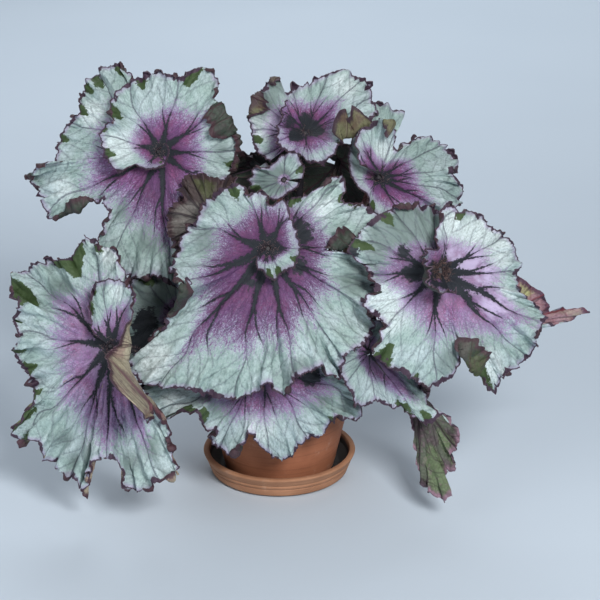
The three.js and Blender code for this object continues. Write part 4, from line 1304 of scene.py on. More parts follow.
UNDERSIDES = (
    UnderFinish(
        UnderTone.OLIVE, (76, 90, 74), (48, 60, 50), (46, 50, 46), (80, 78, 72),
        wine=(60, 39, 47), lime=(62, 72, 44),
    ),
    UnderFinish(
        UnderTone.CREAM, (172, 165, 144), (164, 155, 132), (142, 120, 110), (116, 72, 82),
        wine=(68, 43, 53),
    ),
    UnderFinish(UnderTone.MOSS, (124, 132, 92), (104, 104, 76), (98, 78, 66), (78, 64, 66)),
    UnderFinish(
        UnderTone.ROSY, (176, 168, 158), (150, 118, 126), (168, 156, 138), (130, 100, 112),
        vein=(112, 52, 64), wine=(84, 58, 78), lime=(168, 170, 124),
    ),
    UnderFinish(
        UnderTone.BUFF, (54, 54, 46), (62, 50, 48), (48, 40, 44), (106, 102, 98),
        vein=(38, 26, 34), wine=(64, 46, 50), lime=(72, 76, 48),
    ),
    UnderFinish(
        UnderTone.FERN, (66, 76, 60), (76, 84, 70), (72, 60, 66), (92, 78, 82),
        vein=(40, 26, 34), wine=(130, 102, 118), lime=(92, 108, 78),
    ),
)


@dataclass(frozen=True)
class MottledFinish:
    """A dry surface mottled in two tints, and dark near the hub where it has a hub tint."""

    name: str
    first: Colour
    second: Colour
    rough: float
    scale: float
    low: float
    high: float
    detail: float = 2.0
    hub: Colour | None = None

    def material(self) -> Material:
        """Makes the material.

        Returns:
            The material.
        """
        g = Shader(self.name)
        mottle = g.noise(g.millimetres(), self.scale, self.detail)
        g.colour = g.mix(g.step(mottle, self.low, self.high), self.first, self.second)
        if self.hub:
            g.paint(self.hub, g.step(g.read("radius"), 16.0, 6.0))
        return g.dress(g.scaled(mottle, 0.3, self.rough))


RIM = MottledFinish(
    "leaf_margin", (60, 42, 58), (92, 68, 86), 0.5, 0.4, 0.5, 0.75, detail=3.0, hub=(24, 19, 27)
)
LEAF_HAIR = MottledFinish("leaf_hair", (120, 84, 90), (176, 150, 146), 0.45, 0.6, 0.4, 0.62)
HUB_HAIR = MottledFinish("hub_hair", (84, 62, 62), (142, 116, 108), 0.45, 0.6, 0.4, 0.62)


@dataclass(frozen=True)
class StalkFinish:
    """A fleshy red-brown stalk, streaked, with painted shade darkening it from its top down."""

    red: Colour = (112, 56, 60)
    green: Colour = (118, 112, 74)
    pale: Colour = (176, 140, 132)
    # The painted shade at the stalk's top, under its blade
    top: Colour = (24, 19, 27)

    def material(self) -> Material:
        """Makes the material.

        Returns:
            The material.
        """
        g = Shader("leaf_stalk")
        here = g.millimetres()
        broad = g.noise(here, 0.05, 3.0)
        fine = g.noise(here, 1.1, 3.0, 0.7)
        g.colour = g.mix(g.step(broad, 0.42, 0.66), self.red, self.green)
        g.paint(self.pale, g.step(fine, 0.56, 0.7), 0.6)
        # Painted shade: dark from the top down, as far as the leaf's shade says.
        g.paint(self.top, g.step(g.read("below"), 20.0, 0.0))
        return g.dress(g.scaled(fine, 0.3, 0.4), fine, 0.5, 0.5)


@dataclass(frozen=True)
class ClayFinish:
    """Plain fired clay."""

    name: str
    body: Colour
    warm: Colour
    dark: Colour
    salt: Colour = (190, 160, 142)
    # Dark inside the saucer, low between pot and lip: partly damp, partly painted shade
    damp_shade: Colour = (34, 29, 28)
    bloom: float = 0.3
    damp_shade_inside: float = 0.0  # radius at the base of the darkening inside, partly damp and partly painted shade, 0 for none

    def material(self, clay: Tree) -> Material:
        """Makes the material.

        Args:
            clay: the clay group.

        Returns:
            The material.
        """
        g = Shader(self.name)
        body = g.group(clay)
        g.colour = g.mix(g.step(body["Blotch"], 0.36, 0.66), self.body, self.warm)
        g.paint(self.dark, g.step(body["Ring"], 0.5, 0.7), 0.3)
        g.paint(self.salt, g.times(body["Bloom"], self.bloom))
        g.paint(self.dark, g.step(body["Grit"], 0.58, 0.72), 0.35)
        # Partly damp and partly painted shade: the inside goes dark low down, between the pot and the lip.
        if self.damp_shade_inside:
            x, y, z = g.node("SeparateXYZ", {0: g.millimetres()}).outputs
            out = g.sum("SQRT", g.plus(g.times(x, x), g.times(y, y)))
            inner = g.step(g.scaled(z, -0.37, out), self.damp_shade_inside + 1.0, self.damp_shade_inside)
            low = g.step(g.scaled(body["Blotch"], 6.0, z), 26.0, 20.5)
            damp_shade_mask = g.times(g.times(inner, low), g.sum("GREATER_THAN", z, 3.0))
            g.paint(self.damp_shade, damp_shade_mask)
        height = g.scaled(body["Ring"], 0.8, g.times(body["Grit"], 0.5))
        return g.dress(g.scaled(body["Grit"], 0.25, 0.66), height, 0.45, 0.6)


@dataclass(frozen=True)
class EarthFinish:
    """Dark crumbly potting mix with pale grains."""

    peat: Colour = (46, 34, 26)
    bark: Colour = (84, 60, 42)
    grain: Colour = (196, 190, 178)

    def material(self) -> Material:
        """Makes the material.

        Returns:
            The material.
        """
        g = Shader("potting_mix")
        here = g.millimetres()
        lump = g.noise(here, 0.25, 5.0, 0.7)
        grains = g.node("TexVoronoi", {"Vector": here, "Scale": 0.16})
        g.colour = g.mix(g.step(lump, 0.42, 0.68), self.peat, self.bark)
        g.paint(self.grain, g.step(grains.outputs["Distance"], 0.16, 0.11))
        return g.dress(g.scaled(lump, 0.2, 0.8), lump, 0.9, 1.5)


@dataclass(frozen=True)
class FloorFinish:
    """The studio's pale floor."""

    pale: Colour = (184, 196, 208)
    paler: Colour = (194, 205, 216)

    def material(self) -> Material:
        """Makes the material.

        Returns:
            The material.
        """
        g = Shader("studio_floor")
        cloud = g.noise(g.millimetres(), 0.002, 2.0)
        g.colour = g.mix(cloud, self.pale, self.paler)
        return g.dress(0.9)


# ---- Leaves: blades and stalks ----


@dataclass
class Hairs:
    """A growth of fine hairs: one spike, repeated and laid from each foot to its tip."""

    finish: Material
    radius: float = 0.12
    depth: float = 3.0

    def build(self, name: str, feet: Array, tips: Array) -> Piece:
        """Models the hairs.

        Args:
            name: the piece's name.
            feet: where the hairs stand, in mm, one a row.
            tips: where they end.

        Returns:
            The hairs as one piece.
        """
        clear()
        width, depth = self.radius * MM, self.depth * MM
        bpy.ops.mesh.primitive_cone_add(vertices=3, radius1=width, radius2=0, depth=depth)
        piece = named(name)
        spike = vertices_of(piece) / MM
        modify(piece, "ARRAY", count=len(feet))
        along = tips - feet
        side = unit(np.cross(along, np.array([0.31, 0.52, 0.79])))
        other = unit(np.cross(along, side))
        rise = spike[:, 2] / self.depth + 0.5
        places = feet[:, None] + rise[None, :, None] * along[:, None]
        places += spike[None, :, :1] * side[:, None] + spike[None, :, 1:2] * other[:, None]
        put(piece, places.reshape(-1, 3) * MM)
        piece.data.materials.append(self.finish)
        return piece


@dataclass
class Blade:
    """The blade of one leaf."""

    spiral: Spiral
    finishes: dict[Side, Material]
    hair: Material
    tuft_hair: Material
    thickness: float = 0.9
    column: float = 2.55
    row: float = 2.0
    inner_radius: float = 2.9
    fine_from: float = 0.88
    hair_step: float = 2.4
    tooth: float = 2.4
    hem: float = 3.8
    vein_depth: float = 1.9
    pleat_depth: float = 1.1
    side_vein_depth: float = 0.7
    ruffle: float = 2.5
    fine_ruffle: float = 1.2
    billow: float = 1.8

    def __post_init__(self) -> None:
        """Measures the smooth margin: the distance gone along it against the degrees turned."""
        self.veins = Venation(self.spiral)
        self.turned = np.linspace(0, self.spiral.sweep, 3000)
        length = self.spiral.length(self.turned)
        steps = np.hypot(np.diff(length), np.radians(np.diff(self.turned)) * (length[1:] * 0.9 + 4))
        self.gone = np.concatenate([[0], np.cumsum(steps)])

    def _teeth(self, along: Array) -> Array:
        """Lays the teeth out.

        Args:
            along: distances along the margin.

        Returns:
            How far the teeth stand out there.
        """
        luck = self.spiral.hub[0]
        wander = along + 2.2 * np.sin(along / 9.1 + luck) + 1.1 * np.sin(along / 4.3 + 2 * luck)
        big = 1 - np.abs(2 * ((wander / 9.6) % 1) - 1) ** 0.8
        small = 1 - np.abs(2 * ((wander / 3.7) % 1) - 1)
        size = 0.7 + 0.5 * np.sin(along / 23 + luck)
        return self.spiral.leaf.frill * (size * (self.tooth * big - 1.0) + 1.1 * small - 0.6)

    def _hem(self, along: Array) -> Array:
        """Turns the margin over by itself, a few millimetres here and there.

        Args:
            along: distances along the margin.

        Returns:
            How far it turns over there.
        """
        luck = self.spiral.hub[0] + 3 * self.spiral.hub[2]
        swing = np.sin(along / 11 + luck) + np.sin(along / 4.7 + 2 * luck)
        swing += 0.6 * np.sin(along / 2.9 + 3 * luck)
        return self.hem * self.spiral.leaf.frill * ease(swing, 0.6, 1.6)

    def _folds(self, along: Array) -> tuple[Array, Array]:
        """The broad folds, where a stretch of the margin is turned over the upper side.

        Args:
            along: distance along the margin.

        Returns:
            How far the sheet goes past its fold, and the angle through which it turns.
        """
        flap = np.zeros_like(along)
        angle = np.full_like(along, 150.0)
        for across, down, half, deep, bend in self.spiral.leaf.folds:
            middle = np.interp(self.spiral.find(across, down)[0], self.turned, self.gone)
            part = deep * (1 - ease(np.abs(along - middle), 0.35 * half, 1.1 * half))
            part *= 0.86 + 0.07 * np.sin(along / 2.9 + down) + 0.05 * np.sin(along / 1.3 + across)
            angle = np.where(part > flap, bend, angle)
            flap = np.maximum(flap, part)
        return flap, angle

    def _relief(self, along: Array, share: Array, radius: Array, lobe: Array, gap: Array) -> Array:
        """How far the surface stands above the smooth sheet: veins sunk, the blade puffed between.

        Args:
            along: distance along the margin.
            share: share of the way out.
            radius: distance from the hub.
            lobe: the count of veins passed.
            gap: distance between the veins beside the place.

        Returns:
            Heights, one a place.
        """
        luck = self.spiral.hub[0] + self.spiral.hub[2]
        pleat = self.spiral.leaf.pleat
        off = lobe - np.round(lobe)
        aside = np.abs(off) * gap
        reach = min(60.0, 0.8 * float(self.spiral.lengths.max()))
        grown = ease(radius, 0.2 * reach, reach)
        height = -self.vein_depth * np.exp(-((aside / 2.8) ** 2)) * ease(radius, 6, 20) * (1 - 0.6 * share)
        height += -self.pleat_depth * pleat * grown * np.cos(6 * np.pi * off) * np.minimum(gap / 40, 1.3)
        lean = (radius - 1.25 * aside) / 17 + 0.37 * np.round(lobe)
        side = np.abs(lean % 1 - 0.5) * 10.6
        height += -self.side_vein_depth * grown * np.exp(-((side / 1.6) ** 2)) * np.minimum(aside / 5, 1)
        height += 0.38 * grown * np.sin(along / 1.25 + 1.5 * np.sin(radius / 8)) * ease(share, 0.3, 0.8)
        height += 0.35 * grown * np.sin(along / 2.7 + radius / 3.1) * np.sin(radius / 2.3)
        ripple = ease(share, 0.6, 1.0)
        height += self.ruffle * ripple * np.sin(along / 3.1 + 1.6 * np.sin(along / 17 + luck) + luck)
        height += self.fine_ruffle * ripple**2 * np.sin(along / 1.25 + 2 * np.sin(along / 7.7))
        height += self.billow * grown * np.sin(radius / 19 + luck) * np.sin(along / 26 + luck)
        return height

    def _surface(self, along: Array, share: Array) -> tuple[Array, dict[str, Array]]:
        """Lays the flat grid out as the middle of the leaf's sheet.

        Args:
            along: distance along the margin, one a vertex.
            share: share of the way out to the margin, folds included.

        Returns:
            The places in mm, and the numbers that the material reads.
        """
        spiral, veins = self.spiral, self.veins
        turned = np.interp(along, self.gone, self.turned)
        smooth_length = spiral.length(turned)
        calm = 1 - 0.85 * ease(through(turned, spiral.known, spiral.curls), 45, 80)
        grown = ease(smooth_length, 7, 30) * calm
        hemmed = ease(smooth_length, 30, 70) * calm
        flap, bend = self._folds(along)
        broad = ease(flap, 0.0, 8.0)
        teeth = self._teeth(along) * grown
        longer = teeth * ease(share, 0.86, 1.0) * (1 - broad)
        flap = flap + 1.2 * teeth * broad + self._hem(along) * hemmed * (1 - broad)
        length = smooth_length + longer
        total = length + flap
        out = share * total
        past = np.maximum(out - length, 0.0)
        inner = np.minimum(out, length) / length
        lobe, gap = veins.lobe(turned, out), veins.gap(turned, out)
        places = spiral.place(turned, inner, longer)
        upward = spiral.upward(turned, inner)
        # What goes past the margin's line rolls over, square to that line.
        margin = np.ones_like(turned)
        aim = spiral.place(turned + 2.5, margin) - spiral.place(turned - 2.5, margin)
        outward = unit(np.cross(unit(aim), upward)) * spiral.leaf.hand
        round_off = np.clip(flap / 8.0, 0.9, 2.3)
        most = np.radians(bend)
        roll = np.minimum(past / round_off, most)
        rest = np.maximum(past - round_off * most, 0.0)
        ahead = round_off * np.sin(roll) + rest * np.cos(roll)
        lift = round_off * (1 - np.cos(roll)) + rest * np.sin(roll)
        places += outward * ahead[:, None] + upward * lift[:, None]
        facing = upward * np.cos(roll)[:, None] - outward * np.sin(roll)[:, None]
        height = self._relief(along, share, out, lobe, gap) * grown
        height *= 1 - 0.65 * ease(past, 0.5, 5.0) * (1 - 0.8 * broad)
        places += facing * height[:, None]
        leaf = spiral.leaf
        numbers = {
            "lobe": lobe, "gap": gap, "radius": out, "turn": np.radians(turned), "edge": total - out,
            "flush": veins.flush(turned, out), "green": veins.green(turned, out),
            "vigour": np.full_like(out, leaf.vigour), "stain": np.full_like(out, leaf.stain),
        }
        for name, spots in (("slate_and_shade", leaf.slate_and_shade_blots), ("dull", leaf.dull), ("bright", leaf.bright)):
            numbers[name] = veins.inside(spots, turned, out)
        return places, numbers

    def build(self) -> Piece:
        """Models the blade.

        Returns:
            The closed sheet, with its three materials and the numbers that they read.
        """
        spiral, leaf = self.spiral, self.spiral.leaf
        columns = int(self.gone[-1] / self.column)
        rows = max(int(spiral.lengths.max() / self.row), 12)
        clear()
        bpy.ops.mesh.primitive_grid_add(x_subdivisions=columns, y_subdivisions=rows, size=1.0)
        piece = named(leaf.name.replace("leaf", "blade"))
        pick_faces(piece, centres_of(piece)[:, 1] + 0.5 > self.fine_from)
        bpy.ops.mesh.subdivide(number_cuts=1)
        bpy.ops.object.mode_set(mode="OBJECT")

        flat = vertices_of(piece)
        u = flat[:, 0] + 0.5
        along = self.gone[-1] * (u if leaf.hand < 0 else 1 - u)
        eye = self.inner_radius / spiral.length(np.interp(along, self.gone, self.turned))
        places, numbers = self._surface(along, eye + (1 - eye) * (flat[:, 1] + 0.5))
        put(piece, self._held(places) * MM)
        for name, values in numbers.items():
            note(piece, name, values)
        for side in Side:
            piece.data.materials.append(self.finishes[side])
        modify(
            piece, "SOLIDIFY", thickness=self.thickness * MM, offset=0.0, use_rim=True,
            material_offset=Side.UNDER.value, material_offset_rim=Side.RIM.value,
        )
        smooth(piece, 60)
        join(piece, self._hairs())
        return piece

    def _hairs(self) -> list[Piece]:
        """The fine hairs of the margin, and those of a hairy hub.

        Returns:
            One piece or two.
        """
        spiral, leaf = self.spiral, self.spiral.leaf
        luck = np.random.default_rng(int(abs(spiral.hub[0]) * 10) + 3)
        count = int(self.gone[-1] / self.hair_step)
        along = (np.arange(count) + luck.uniform(0.1, 0.9, count)) * self.hair_step
        along = np.minimum(along, self.gone[-1] - 0.1)
        rim, _ = self._surface(along, np.ones(count))
        behind, _ = self._surface(along, np.full(count, 0.985))
        aim = unit(unit(rim - behind) + luck.normal(0, 0.35, (count, 3)))
        tips = rim + aim * luck.uniform(0.9, 2.0, (count, 1))
        parts = [Hairs(self.hair, 0.1).build("margin_hairs", self._held(rim), self._held(tips))]
        if leaf.tuft:
            count = leaf.tuft
            turned = luck.uniform(20, 380, count)
            out = luck.uniform(4, 13, count) if leaf.shaggy else luck.uniform(2.9, 10, count)
            feet = spiral.place(turned, out / spiral.length(turned))
            aim = unit(spiral.normal * 1.1 + luck.normal(0, 0.55, (count, 3)))
            hairs = Hairs(self.tuft_hair, 0.28) if leaf.shaggy else Hairs(self.hair, 0.11)
            parts.append(hairs.build("hub_hairs", feet, feet + aim * luck.uniform(2.5, 6.5, (count, 1))))
        return parts

    def _held(self, places: Array) -> Array:
        """Presses the outermost few millimetres of the plant inside the solids' own box.

        Args:
            places: places in mm, which are changed.

        Returns:
            The same places.
        """
        low, high = (np.array(corner) / MM for corner in CAD_BOX)
        for axis in range(3):
            top = high[axis] - BOX_MARGIN - BOX_SOFTNESS
            over = places[:, axis] - top
            eased = top + BOX_SOFTNESS * np.tanh(over / BOX_SOFTNESS)
            places[:, axis] = np.where(over > 0, eased, places[:, axis])
            if axis < 2:
                bottom = low[axis] + BOX_MARGIN + BOX_SOFTNESS
                under = bottom - places[:, axis]
                eased = bottom - BOX_SOFTNESS * np.tanh(under / BOX_SOFTNESS)
                places[:, axis] = np.where(under > 0, eased, places[:, axis])
        return places


@dataclass
class Stalk:
    """The stalk of one leaf, from its hole in the soil into the middle of the blade."""

    spiral: Spiral
    finish: Material
    hair: Material
    soil_top: float
    foot_radius: float = 3.5
    top_radius: float = 2.9
    points: int = 46
    hairs_a_mm: float = 2.0

    def _path(self) -> Array:
        """Bends the stalk.

        Returns:
            Points along its middle, from the soil up.
        """
        spiral, leaf = self.spiral, self.spiral.leaf
        x, y = leaf.foot
        above = leaf.coil * spiral.sweep / 720 - 4.0
        below = -leaf.coil * spiral.sweep / 720 - 7
        bottom = np.array([x, y, self.soil_top - HOLE_DEPTH + 1.0])
        knots = [np.array(point, dtype=float) for point in ((x, y, self.soil_top + FOOT_RISE), *leaf.way)]
        knots.append(spiral.hub + spiral.normal * below)
        path = [bottom + (knots[0] - bottom) * i / 6 for i in range(6)]
        ghosts = [2 * knots[0] - knots[1], *knots, 2 * knots[-1] - knots[-2]]
        spans = len(knots) - 1
        for k in range(spans):
            p0, p1, p2, p3 = ghosts[k : k + 4]
            d0, d1, d2 = (max(np.linalg.norm(b - a) ** 0.5, 1e-4) for a, b in ((p0, p1), (p1, p2), (p2, p3)))
            t1 = ((p1 - p0) / d0 - (p2 - p0) / (d0 + d1) + (p2 - p1) / d1) * d1
            t2 = ((p2 - p1) / d1 - (p3 - p1) / (d1 + d2) + (p3 - p2) / d2) * d1
            for i in range(self.points // spans):
                t = i * spans / self.points
                cube = (2 * t**3 - 3 * t**2 + 1) * p1 + (t**3 - 2 * t**2 + t) * t1
                path.append(cube + (3 * t**2 - 2 * t**3) * p2 + (t**3 - t**2) * t2)
        top = spiral.hub + spiral.normal * above
        path.extend(knots[-1] + (top - knots[-1]) * i / 8 for i in range(9))
        return np.array(path)

    def build(self) -> Piece:
        """Models the stalk.

        Returns:
            A closed tapering tube with a rounded top.
        """
        path = self._path()
        count = len(path)
        share = np.linspace(0, 1, count)
        radii = self.foot_radius + (self.top_radius - self.foot_radius) * share
        radii += 0.12 * np.sin(share * 31 + self.spiral.hub[0])
        radii[-2:] *= (0.92, 0.6)
        clear()
        bpy.ops.curve.primitive_nurbs_path_add(location=(0, 0, 0))
        curve = bpy.context.object
        curve.name = self.spiral.leaf.name.replace("leaf", "stalk")
        curve.data.splines.clear()
        spline = curve.data.splines.new("POLY")
        spline.points.add(count - 1)
        spline.points.foreach_set("co", np.hstack([path * MM, np.ones((count, 1))]).ravel())
        spline.points.foreach_set("radius", radii)
        curve.data.bevel_depth = MM
        curve.data.bevel_resolution = 4
        curve.data.use_fill_caps = True
        curve.data.twist_mode = "MINIMUM"
        bpy.ops.object.convert(target="MESH")
        piece = named(curve.name)
        bpy.ops.object.mode_set(mode="EDIT")
        seal()
        piece.data.materials.clear()
        piece.data.materials.append(self.finish)
        below = np.linalg.norm(vertices_of(piece) / MM - path[-1], axis=1)
        note(piece, "below", below - self.spiral.leaf.shade)
        smooth(piece, 50)
        join(piece, [self._hairs(path, radii)])
        return piece

    def _hairs(self, path: Array, radii: Array) -> Piece:
        """The hairs that stand out all round the stalk.

        Args:
            path: points along its middle.
            radii: its radius at each.

        Returns:
            The hairs.
        """
        luck = np.random.default_rng(int(abs(self.spiral.hub[0]) * 10) + 11)
        gone = np.concatenate([[0], np.cumsum(np.linalg.norm(np.diff(path, axis=0), axis=1))])
        low = HOLE_DEPTH + 1.0
        count = int((gone[-1] - low) * self.hairs_a_mm)
        at = luck.uniform(low, gone[-1] - 12, count)
        middle = np.stack([np.interp(at, gone, path[:, axis]) for axis in range(3)], axis=1)
        ahead = np.stack([np.interp(at + 1, gone, path[:, axis]) for axis in range(3)], axis=1)
        forward = unit(ahead - middle)
        aim = luck.normal(0, 1, (count, 3))
        aim = unit(aim - (aim * forward).sum(1)[:, None] * forward)
        feet = middle + aim * np.interp(at, gone, radii)[:, None] * 0.9
        aim = aim + forward * luck.normal(0.15, 0.3, (count, 1))
        return Hairs(self.hair).build("stalk_hairs", feet, feet + aim * luck.uniform(1.8, 3.8, (count, 1)))


# ---- Pot, saucer and soil ----


@dataclass
class Saucer:
    """The turned clay saucer."""

    finish: Material
    radius: float = 75.5
    foot_radius: float = 64.0
    height: float = 23.0
    wall: float = 6.0
    floor: float = 6.0
    grooves: tuple[float, ...] = (9.5, 14.0)
    groove_depth: float = 0.8
    sides: int = 144

    def _outer(self, z: float) -> float:
        """The wall's outer radius at a height."""
        return self.foot_radius + 3 + (self.radius - self.foot_radius - 3) / self.height * z

    def build(self) -> Piece:
        """Models the saucer.

        Returns:
            The closed dish, with its grooves and rounded lip.
        """
        top, lip, inner = self.height, self.radius, self.radius - self.wall
        foot, floor = self.foot_radius - self.wall, self.floor
        profile = [
            (0.0, 0.0), (self.foot_radius - 0.8, 0.0), (self.foot_radius, 0.5), (self._outer(2.5), 2.5),
        ]
        for z in self.grooves:
            for off, sink in ((-1.2, 0.0), (-0.7, 0.35), (0.0, 1.0), (0.7, 0.35), (1.2, 0.0)):
                profile.append((self._outer(z + off) - sink * self.groove_depth, z + off))
        profile += [
            (self._outer(17.5), 17.5), (lip - 1.1, 19.0), (lip - 0.5, 20.2), (lip - 0.1, 21.3),
            (lip - 0.5, 22.2), (lip - 1.3, 22.8), (lip - 2.4, top), (inner + 1.6, top),
            (inner + 0.5, 22.5), (inner, 21.6), (inner - 1.6, 14.0), (foot + 4.4, floor + 4),
            (foot + 2.4, floor + 1.4), (foot - 0.6, floor), (0.0, floor),
        ]
        piece = turned_form("saucer_turned", profile, self.sides)
        piece.data.materials.append(self.finish)
        smooth(piece, SHARPEST)
        return piece


@dataclass
class Pot:
    """The turned clay pot, with a collar round its top and a drain hole in its floor."""

    finish: Material
    bottom: float = 6.3
    base_radius: float = 54.0
    slope: float = 0.225
    height: float = 128.0
    wall: float = 6.5
    floor: float = 9.0
    collar_height: float = 26.0
    collar_step: float = 5.0
    drain_radius: float = 8.0
    sides: int = 144

    @property
    def top(self) -> float:
        """The rim's height."""
        return self.bottom + self.height

    def radius(self, z: float) -> float:
        """The outer radius below the collar at a height."""
        return self.base_radius + self.slope * (z - self.bottom)

    def inside(self, z: float) -> float:
        """The inner radius at a height."""
        return self.radius(z) - self.wall

    def build(self) -> Piece:
        """Models the pot.

        Returns:
            The closed wall and floor, with the drain hole through it.
        """
        low, top = self.bottom, self.top
        foot = top - self.collar_height
        rim = self.radius(top) - 0.6 + self.collar_step - 4
        step = self.radius(foot) + self.collar_step
        floor = low + self.floor
        drain, base = self.drain_radius, self.base_radius
        profile = [(drain + 0.8, low), (base - 1.6, low), (base - 0.5, low + 0.4), (base, low + 1.3)]
        for i in range(1, 13):
            z = low + 1.3 + (foot - low - 2.3) * i / 12
            profile.append((self.radius(z) + 0.12 * math.sin(i * 2.3), z))
        profile += [
            (self.radius(foot) + 0.5, foot), (step - 1.4, foot + 0.5), (step - 0.3, foot + 1.3),
            (step, foot + 2.6),
        ]
        for i in range(1, 5):
            share = i / 5
            profile.append((step + (rim + 2 - step) * share, foot + 2.6 + (top - 4.6 - foot) * share))
        profile += [
            (rim + 2, top - 2.2), (rim + 1.7, top - 0.9), (rim + 0.8, top - 0.2), (rim - 0.4, top),
            (self.inside(top) + 1.8, top), (self.inside(top) + 0.6, top - 0.4),
            (self.inside(top), top - 1.6),
        ]
        for i in range(1, 6):
            z = top - 1.6 + (floor + 4 - top + 1.6) * i / 5
            profile.append((self.inside(z), z))
        profile += [
            (self.inside(floor) - 1.4, floor + 1), (self.inside(floor) - 4, floor), (drain + 0.8, floor),
            (drain, floor - 0.8), (drain, low + 0.8), (drain + 0.8, low),
        ]
        piece = turned_form("pot_turned", profile, self.sides)
        piece.data.materials.append(self.finish)
        smooth(piece, SHARPEST)
        return piece


@dataclass
class Soil:
    """The potting mix: a crumbly surface over the filled pot."""

    finish: Material
    pot: Pot
    below_rim: float = 11.0
    gap: float = 0.3
    crumbs: int = 260
    seed: int = 7

    @property
    def top(self) -> float:
        """The height of the soil's surface."""
        return self.pot.top - self.below_rim

    def build(self) -> Piece:
        """Models the soil.

        Returns:
            The filling with its rough top, and the lumps on it, as one piece.
        """
        pot, gap, top = self.pot, self.gap, self.top
        low = pot.bottom + pot.floor + gap
        wide = pot.inside(top) - gap
        profile = [
            (0.0, low), (pot.inside(low) - gap - 4.2, low), (pot.inside(low + 5) - gap, low + 5),
            (pot.inside(top - 3) - gap, top - 3), (wide - 1.0, top - 1.2),
        ]
        profile += [(wide * i / 24, top - 0.8) for i in range(23, 0, -1)] + [(0.0, top - 0.8)]
        piece = turned_form("soil_filling", profile, 96)
        places = vertices_of(piece) / MM
        x, y = places[:, 0], places[:, 1]
        bumps = 0.9 * np.sin(x / 2.3 + 1.3 * np.sin(y / 3.7)) * np.sin(y / 2.6)
        bumps = bumps + 0.5 * np.sin(x * 1.1) * np.sin(y * 0.9 + x / 5)
        places[:, 2] += np.where(places[:, 2] > top - 1.5, bumps - 0.5, 0.0)
        put(piece, places * MM)
        luck = np.random.default_rng(self.seed)
        clear()
        lumps = []
        for _ in range(self.crumbs):
            angle, out = luck.uniform(0, 2 * math.pi), (wide - 5) * math.sqrt(luck.uniform(0.02, 1))
            place = np.array([out * math.cos(angle), out * math.sin(angle), top - 1.0])
            bpy.ops.mesh.primitive_ico_sphere_add(
                subdivisions=1, radius=luck.uniform(0.8, 2.3) * MM, location=tuple(place * MM),
                rotation=(angle, angle * 1.7, angle * 0.6),
            )
            lumps.append(bpy.context.object)
        join(piece, lumps)
        piece.data.materials.clear()
        piece.data.materials.append(self.finish)
        smooth(piece, 40)
        return piece


# ---- The plant ----


class Plant:
    """The whole potted plant."""

    def __init__(self, sight: Sight) -> None:
        """Makes the finishes that its pieces share.

        Args:
            sight: the photograph's camera.
        """
        self.sight = sight
        veins, clay = vein_group(), clay_group()
        self.upper = UpperFinish().material(veins)
        self.unders = {finish.tone: finish.material(veins) for finish in UNDERSIDES}
        self.rim = RIM.material()
        self.stalk = StalkFinish().material()
        self.hair = LEAF_HAIR.material()
        self.tuft_hair = HUB_HAIR.material()
        pot = ClayFinish("clay_pot", (150, 92, 64), (162, 102, 72), (98, 58, 42))
        saucer = ClayFinish(
            "clay_saucer", (150, 106, 78), (166, 120, 90), (104, 68, 52), damp_shade_inside=64.0
        )
        self.pot_clay = pot.material(clay)
        self.saucer_clay = saucer.material(clay)
        self.earth = EarthFinish().material()

    def place(self, piece: Piece, node: str, slot: str) -> None:
        """Gives a piece its body, hides the CAD node that it stands for, and reports it.

        Args:
            piece: the piece.
            node: the CAD node that it stands for.
            slot: not used.
        """
        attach(piece, "root")
        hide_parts(node)
        log.info("%s: %d faces", piece.name, len(piece.data.polygons))

    def add_clay(self) -> Soil:
        """Adds the saucer, the pot and the soil.

        Returns:
            The soil, whose height the stalks need.
        """
        pot = Pot(self.pot_clay)
        soil = Soil(self.earth, pot)
        self.place(Saucer(self.saucer_clay).build(), "saucer", "saucer_clay")
        self.place(pot.build(), "pot", "pot_clay")
        self.place(soil.build(), "soil", "soil")
        return soil

    def add_leaf(self, leaf: Leaf, soil: Soil) -> None:
        """Adds one leaf.

        Args:
            leaf: the leaf.
            soil: the soil in which its stalk stands.
        """
        spiral = Spiral(leaf, self.sight)
        finishes = {Side.UPPER: self.upper, Side.UNDER: self.unders[leaf.tone], Side.RIM: self.rim}
        blade = Blade(spiral, finishes, self.hair, self.tuft_hair)
        stalk = Stalk(spiral, self.stalk, self.hair, soil.top)
        self.place(blade.build(), f"{leaf.name}_blade", "leaf_blade")
        self.place(stalk.build(), f"{leaf.name}_stalk", "leaf_stalk")

    def build(self) -> None:
        """Builds every piece."""
        soil = self.add_clay()
        for leaf in (*SHOWN_LEAVES, *FAR_LEAVES):
            self.add_leaf(leaf, soil)


# ---- The studio ----


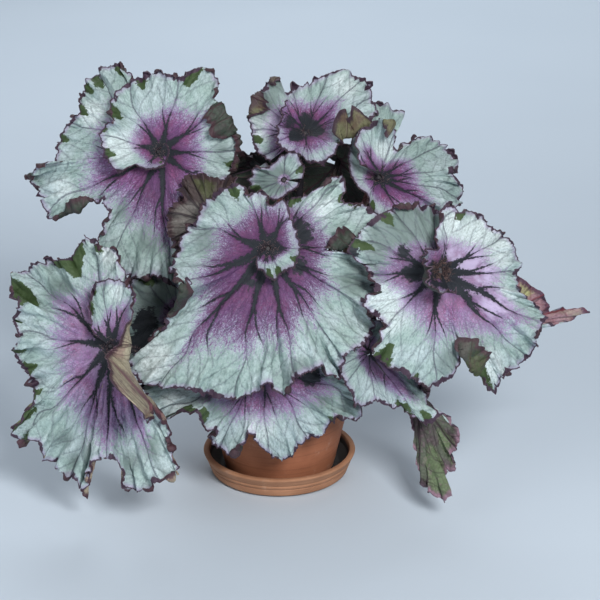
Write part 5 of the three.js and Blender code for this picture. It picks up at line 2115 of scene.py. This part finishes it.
@dataclass(frozen=True)
class Lamp:
    """A soft square lamp that points at the plant."""

    name: str
    place: tuple[float, float, float]  # metres
    size: float  # metres
    power: float
    tint: tuple[float, float, float] = (1.0, 1.0, 1.0)
    aim: tuple[float, float, float] = (0.0, -0.05, 0.22)  # where it points, in metres

    def light(self) -> None:
        """Adds the lamp."""
        clear()
        bpy.ops.object.light_add(type="AREA", location=self.place)
        lamp = bpy.context.object
        lamp.name = self.name
        lamp.data.energy = self.power
        lamp.data.size = self.size
        lamp.data.color = self.tint
        way = np.array(self.aim) - np.array(self.place)
        flat = math.hypot(way[0], way[1])
        lamp.rotation_euler = (math.atan2(flat, -way[2]), 0.0, math.atan2(way[1], way[0]) - math.pi / 2)


@dataclass(frozen=True)
class Studio:
    """The floor, the lamps and the camera."""

    sight: Sight
    lamps: tuple[Lamp, ...] = (
        Lamp("key_lamp", (0.6, -1.75, 1.45), 0.6, 49.0, (1.0, 0.99, 0.98)),
        Lamp("fill_lamp", (-1.5, -1.4, 0.9), 1.5, 18.0, (0.96, 0.98, 1.0)),
        Lamp("back_lamp", (-0.5, 1.5, 1.6), 1.2, 10.0, (0.95, 0.97, 1.0)),
        Lamp("backdrop_lamp", (0.3, 2.6, 1.9), 2.4, 42.0, (0.93, 0.97, 1.0), (0.2, 2.5, 0.0)),
    )
    sky: tuple[float, ...] = (0.60, 0.68, 0.78, 1.0)
    sky_strength: float = 0.18
    sensor: float = 36.0

    def build(self) -> None:
        """Sets the studio up."""
        clear()
        bpy.ops.mesh.primitive_plane_add(size=14.0, location=(0, 0, 0))
        floor = named("studio_floor")
        floor.data.materials.append(FloorFinish().material())
        for lamp in self.lamps:
            lamp.light()
        scene = bpy.context.scene
        world = bpy.data.worlds.new("studio_air")
        world.use_nodes = True
        air = world.node_tree.nodes["Background"]
        air.inputs["Color"].default_value = self.sky
        air.inputs["Strength"].default_value = self.sky_strength
        scene.world = world
        scene.view_settings.view_transform = "Standard"
        clear()
        place = tuple(part * MM for part in self.sight.place)
        bpy.ops.object.camera_add(location=place, rotation=(math.radians(90 - self.sight.pitch), 0, 0))
        camera = bpy.context.object
        camera.name = "photo_camera"
        camera.data.sensor_width = self.sensor
        camera.data.lens = self.sensor * self.sight.focal / self.sight.side
        scene.camera = camera


def main() -> None:
    logging.basicConfig(level=logging.INFO, format="%(message)s")
    sight = Sight()
    Plant(sight).build()
    Studio(sight).build()
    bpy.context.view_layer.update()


if __name__ == "__main__":
    main()
